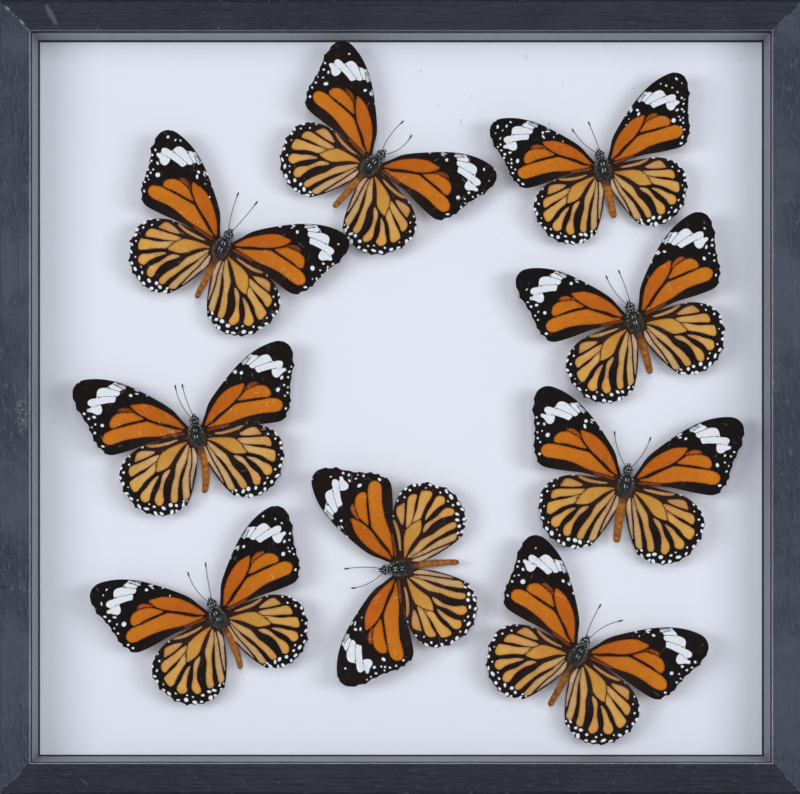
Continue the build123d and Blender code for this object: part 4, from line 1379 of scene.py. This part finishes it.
class GrowFur(bpy.types.Operator):
    """Grow the fur on every body"""

    bl_idname = "display_case.grow_fur"
    bl_label = "Grow fur"

    def execute(self, context):
        chosen = settings()
        tree = hair_tree()
        hair = plain_finish("thorax_hair", (12, 12, 14), (132, 133, 138), 0.7, scale=1100)
        base_hair = plain_finish("wing_base_hair", (58, 44, 38), (150, 118, 90), 0.7, scale=900)
        fuzz = plain_finish("abdomen_fuzz", (116, 64, 28), (206, 148, 84), 0.7, scale=1300)
        coats = (
            # name, finish, from, to, sides only, density of the fur's, length of the fur's, sweep
            ("fur", hair, 4.8, WAIST_Y - 1.0, False, 1.0, 1.0, -0.9),
            ("wing_base_fur", base_hair, 1.2, WAIST_Y + 0.4, True, 0.9, 1.5, -0.5),
            ("fuzz", fuzz, WAIST_Y - 0.6, None, False, 1.2, 0.5, -1.3),
        )
        for number, specimen in enumerate(SPECIMENS, start=1):
            ahead = specimen_axes(specimen)[1]
            for order, (name, finish, start, end, sides, density, length, sweep) in enumerate(coats):
                end = HEAD_Y - specimen["length"] if end is None else end
                rings = [body_ring(specimen, number, y, -0.05) for y in np.arange(start, end, -0.4)]
                verts, faces = ring_surface(rings)
                if sides:
                    faces = [f for f in faces if abs(math.cos(math.tau * f[0] / BODY_RING)) > 0.75]
                skin = new_mesh_object("skin", verts, faces)
                piece = grow(
                    tree, skin, f"specimen_{number}_{name}",
                    Hairs_per_square_metre=chosen.fur_density * density,
                    Hair_length=chosen.fur_length * length, Hair_width=0.00004,
                    Sweep=tuple(ahead * sweep), Seed=chosen.seed + number + 20 * order,
                    Hair_finish=finish,
                )
                seat(piece, None, [])
        return {"FINISHED"}


class SetStage(bpy.types.Operator):
    """Set the floor, the lamps, the background and the camera"""

    bl_idname = "display_case.set_stage"
    bl_label = "Set stage"

    # Where the photograph was taken from, in metres.
    view_distance = 0.9  # in front of the frame's face
    view_width = 0.3037  # seen across the frame's face
    eye_x, eye_z = -0.003, CASE_MIDDLE_Z - 0.0233
    view_x, view_z = -0.00044, CASE_MIDDLE_Z - 0.00004  # middle of the picture on the frame's face
    sensor = 36.0

    def execute(self, context):
        self.add_camera()
        self.add_floor()
        power = settings().lamp_power
        aim = (0, 0, CASE_MIDDLE_Z)
        for side in (-1, 1):
            self.add_lamp(f"side_lamp_{side}", (side * 0.64, -0.98, 0.2), aim, 0.62, 0.3, power)
        self.add_lamp("fill_lamp", (0, -1.4, 0.42), aim, 0.3, 0.8, power * 1.3)
        self.add_lamp("back_lamp", (0.25, 1.3, 0.75), aim, 0.9, 0.7, power * 3.2)
        self.add_world()
        return {"FINISHED"}

    def add_camera(self):
        data = bpy.data.cameras.new("camera")
        data.sensor_width = self.sensor
        data.lens = self.sensor * self.view_distance / self.view_width
        data.shift_x = (self.view_x - self.eye_x) / self.view_width
        data.shift_y = (self.view_z - self.eye_z) / self.view_width
        data.clip_start = 0.01
        camera = bpy.data.objects.new("camera", data)
        camera.location = (self.eye_x, CASE_LOW.y - self.view_distance, self.eye_z)
        camera.rotation_euler = (math.pi / 2, 0, 0)
        bpy.context.scene.collection.objects.link(camera)
        bpy.context.scene.camera = camera
        bpy.context.scene.view_settings.view_transform = "Standard"

    def add_floor(self):
        """A pale floor that fades out into the background all round."""
        size, drop = 1.6, 0.0002
        floor = new_mesh_object("floor", [
            (-size, -size, -drop), (size, -size, -drop), (size, size, -drop), (-size, size, -drop),
        ], [(0, 1, 2, 3)])
        finish = Finish("floor_paint")
        place = finish.place()
        x, y, _ = finish.parts(place)
        away = finish.node("ShaderNodeMath", {"operation": "SQRT"}, {0: x * x + y * y})
        colour = finish.mix(finish.noise(place, 40, 3), srgb(222, 223, 224), srgb(228, 228, 228))
        floor.data.materials.append(finish.surface(colour, 0.7, Alpha=1 - away.ramp(0.35, 1.1)))

    def add_lamp(self, name, place, target, width, height, power):
        data = bpy.data.lights.new(name, "AREA")
        data.shape = "RECTANGLE"
        data.size, data.size_y, data.energy = width, height, power
        lamp = bpy.data.objects.new(name, data)
        lamp.location = place
        lamp.rotation_euler = (Vector(target) - Vector(place)).to_track_quat("-Z", "Y").to_euler()
        bpy.context.scene.collection.objects.link(lamp)

    def add_world(self):
        """Even grey light, seen as white behind the case."""
        world = bpy.data.worlds.new("studio")
        world.use_nodes = True
        tree = world.node_tree
        tree.nodes.clear()
        ray = tree.nodes.new("ShaderNodeLightPath")
        seen = tree.nodes.new("ShaderNodeMath")
        seen.operation = "MAXIMUM"
        tree.links.new(ray.outputs["Is Camera Ray"], seen.inputs[0])
        tree.links.new(ray.outputs["Is Transmission Ray"], seen.inputs[1])
        level = tree.nodes.new("ShaderNodeMapRange")
        tree.links.new(seen.outputs[0], level.inputs[0])
        level.inputs[3].default_value = 0.18
        level.inputs[4].default_value = 1.0
        light = tree.nodes.new("ShaderNodeBackground")
        light.inputs["Color"].default_value = grey(1.0)
        tree.links.new(level.outputs[0], light.inputs["Strength"])
        output = tree.nodes.new("ShaderNodeOutputWorld")
        tree.links.new(light.outputs[0], output.inputs["Surface"])
        bpy.context.scene.world = world


STEPS = (PaintRails, FitGlass, LineBox, FinishHardware, SpreadWings, ShapeBodies, GrowFur, SetStage)


class DISPLAY_CASE_PT_panel(bpy.types.Panel):
    """Lists the case's settings and the steps that build it"""

    bl_label = "Display case"
    bl_idname = "DISPLAY_CASE_PT_panel"
    bl_space_type = "VIEW_3D"
    bl_region_type = "UI"
    bl_category = "Display case"

    def draw(self, context):
        chosen = context.scene.display_case
        for name in chosen.bl_rna.properties.keys():
            if name not in ("rna_type", "name"):
                self.layout.prop(chosen, name)
        for step in STEPS:
            self.layout.operator(step.bl_idname)


CLASSES = (DisplayCaseSettings, *STEPS, DISPLAY_CASE_PT_panel)


def register():
    for cls in CLASSES:
        bpy.utils.register_class(cls)
    bpy.types.Scene.display_case = PointerProperty(type=DisplayCaseSettings)


def unregister():
    del bpy.types.Scene.display_case
    for cls in reversed(CLASSES):
        bpy.utils.unregister_class(cls)


def main():
    register()
    bpy.ops.display_case.paint_rails()
    bpy.ops.display_case.fit_glass()
    bpy.ops.display_case.line_box()
    bpy.ops.display_case.finish_hardware()
    bpy.ops.display_case.spread_wings()
    bpy.ops.display_case.shape_bodies()
    bpy.ops.display_case.grow_fur()
    bpy.ops.display_case.set_stage()


if __name__ == "__main__":
    main()
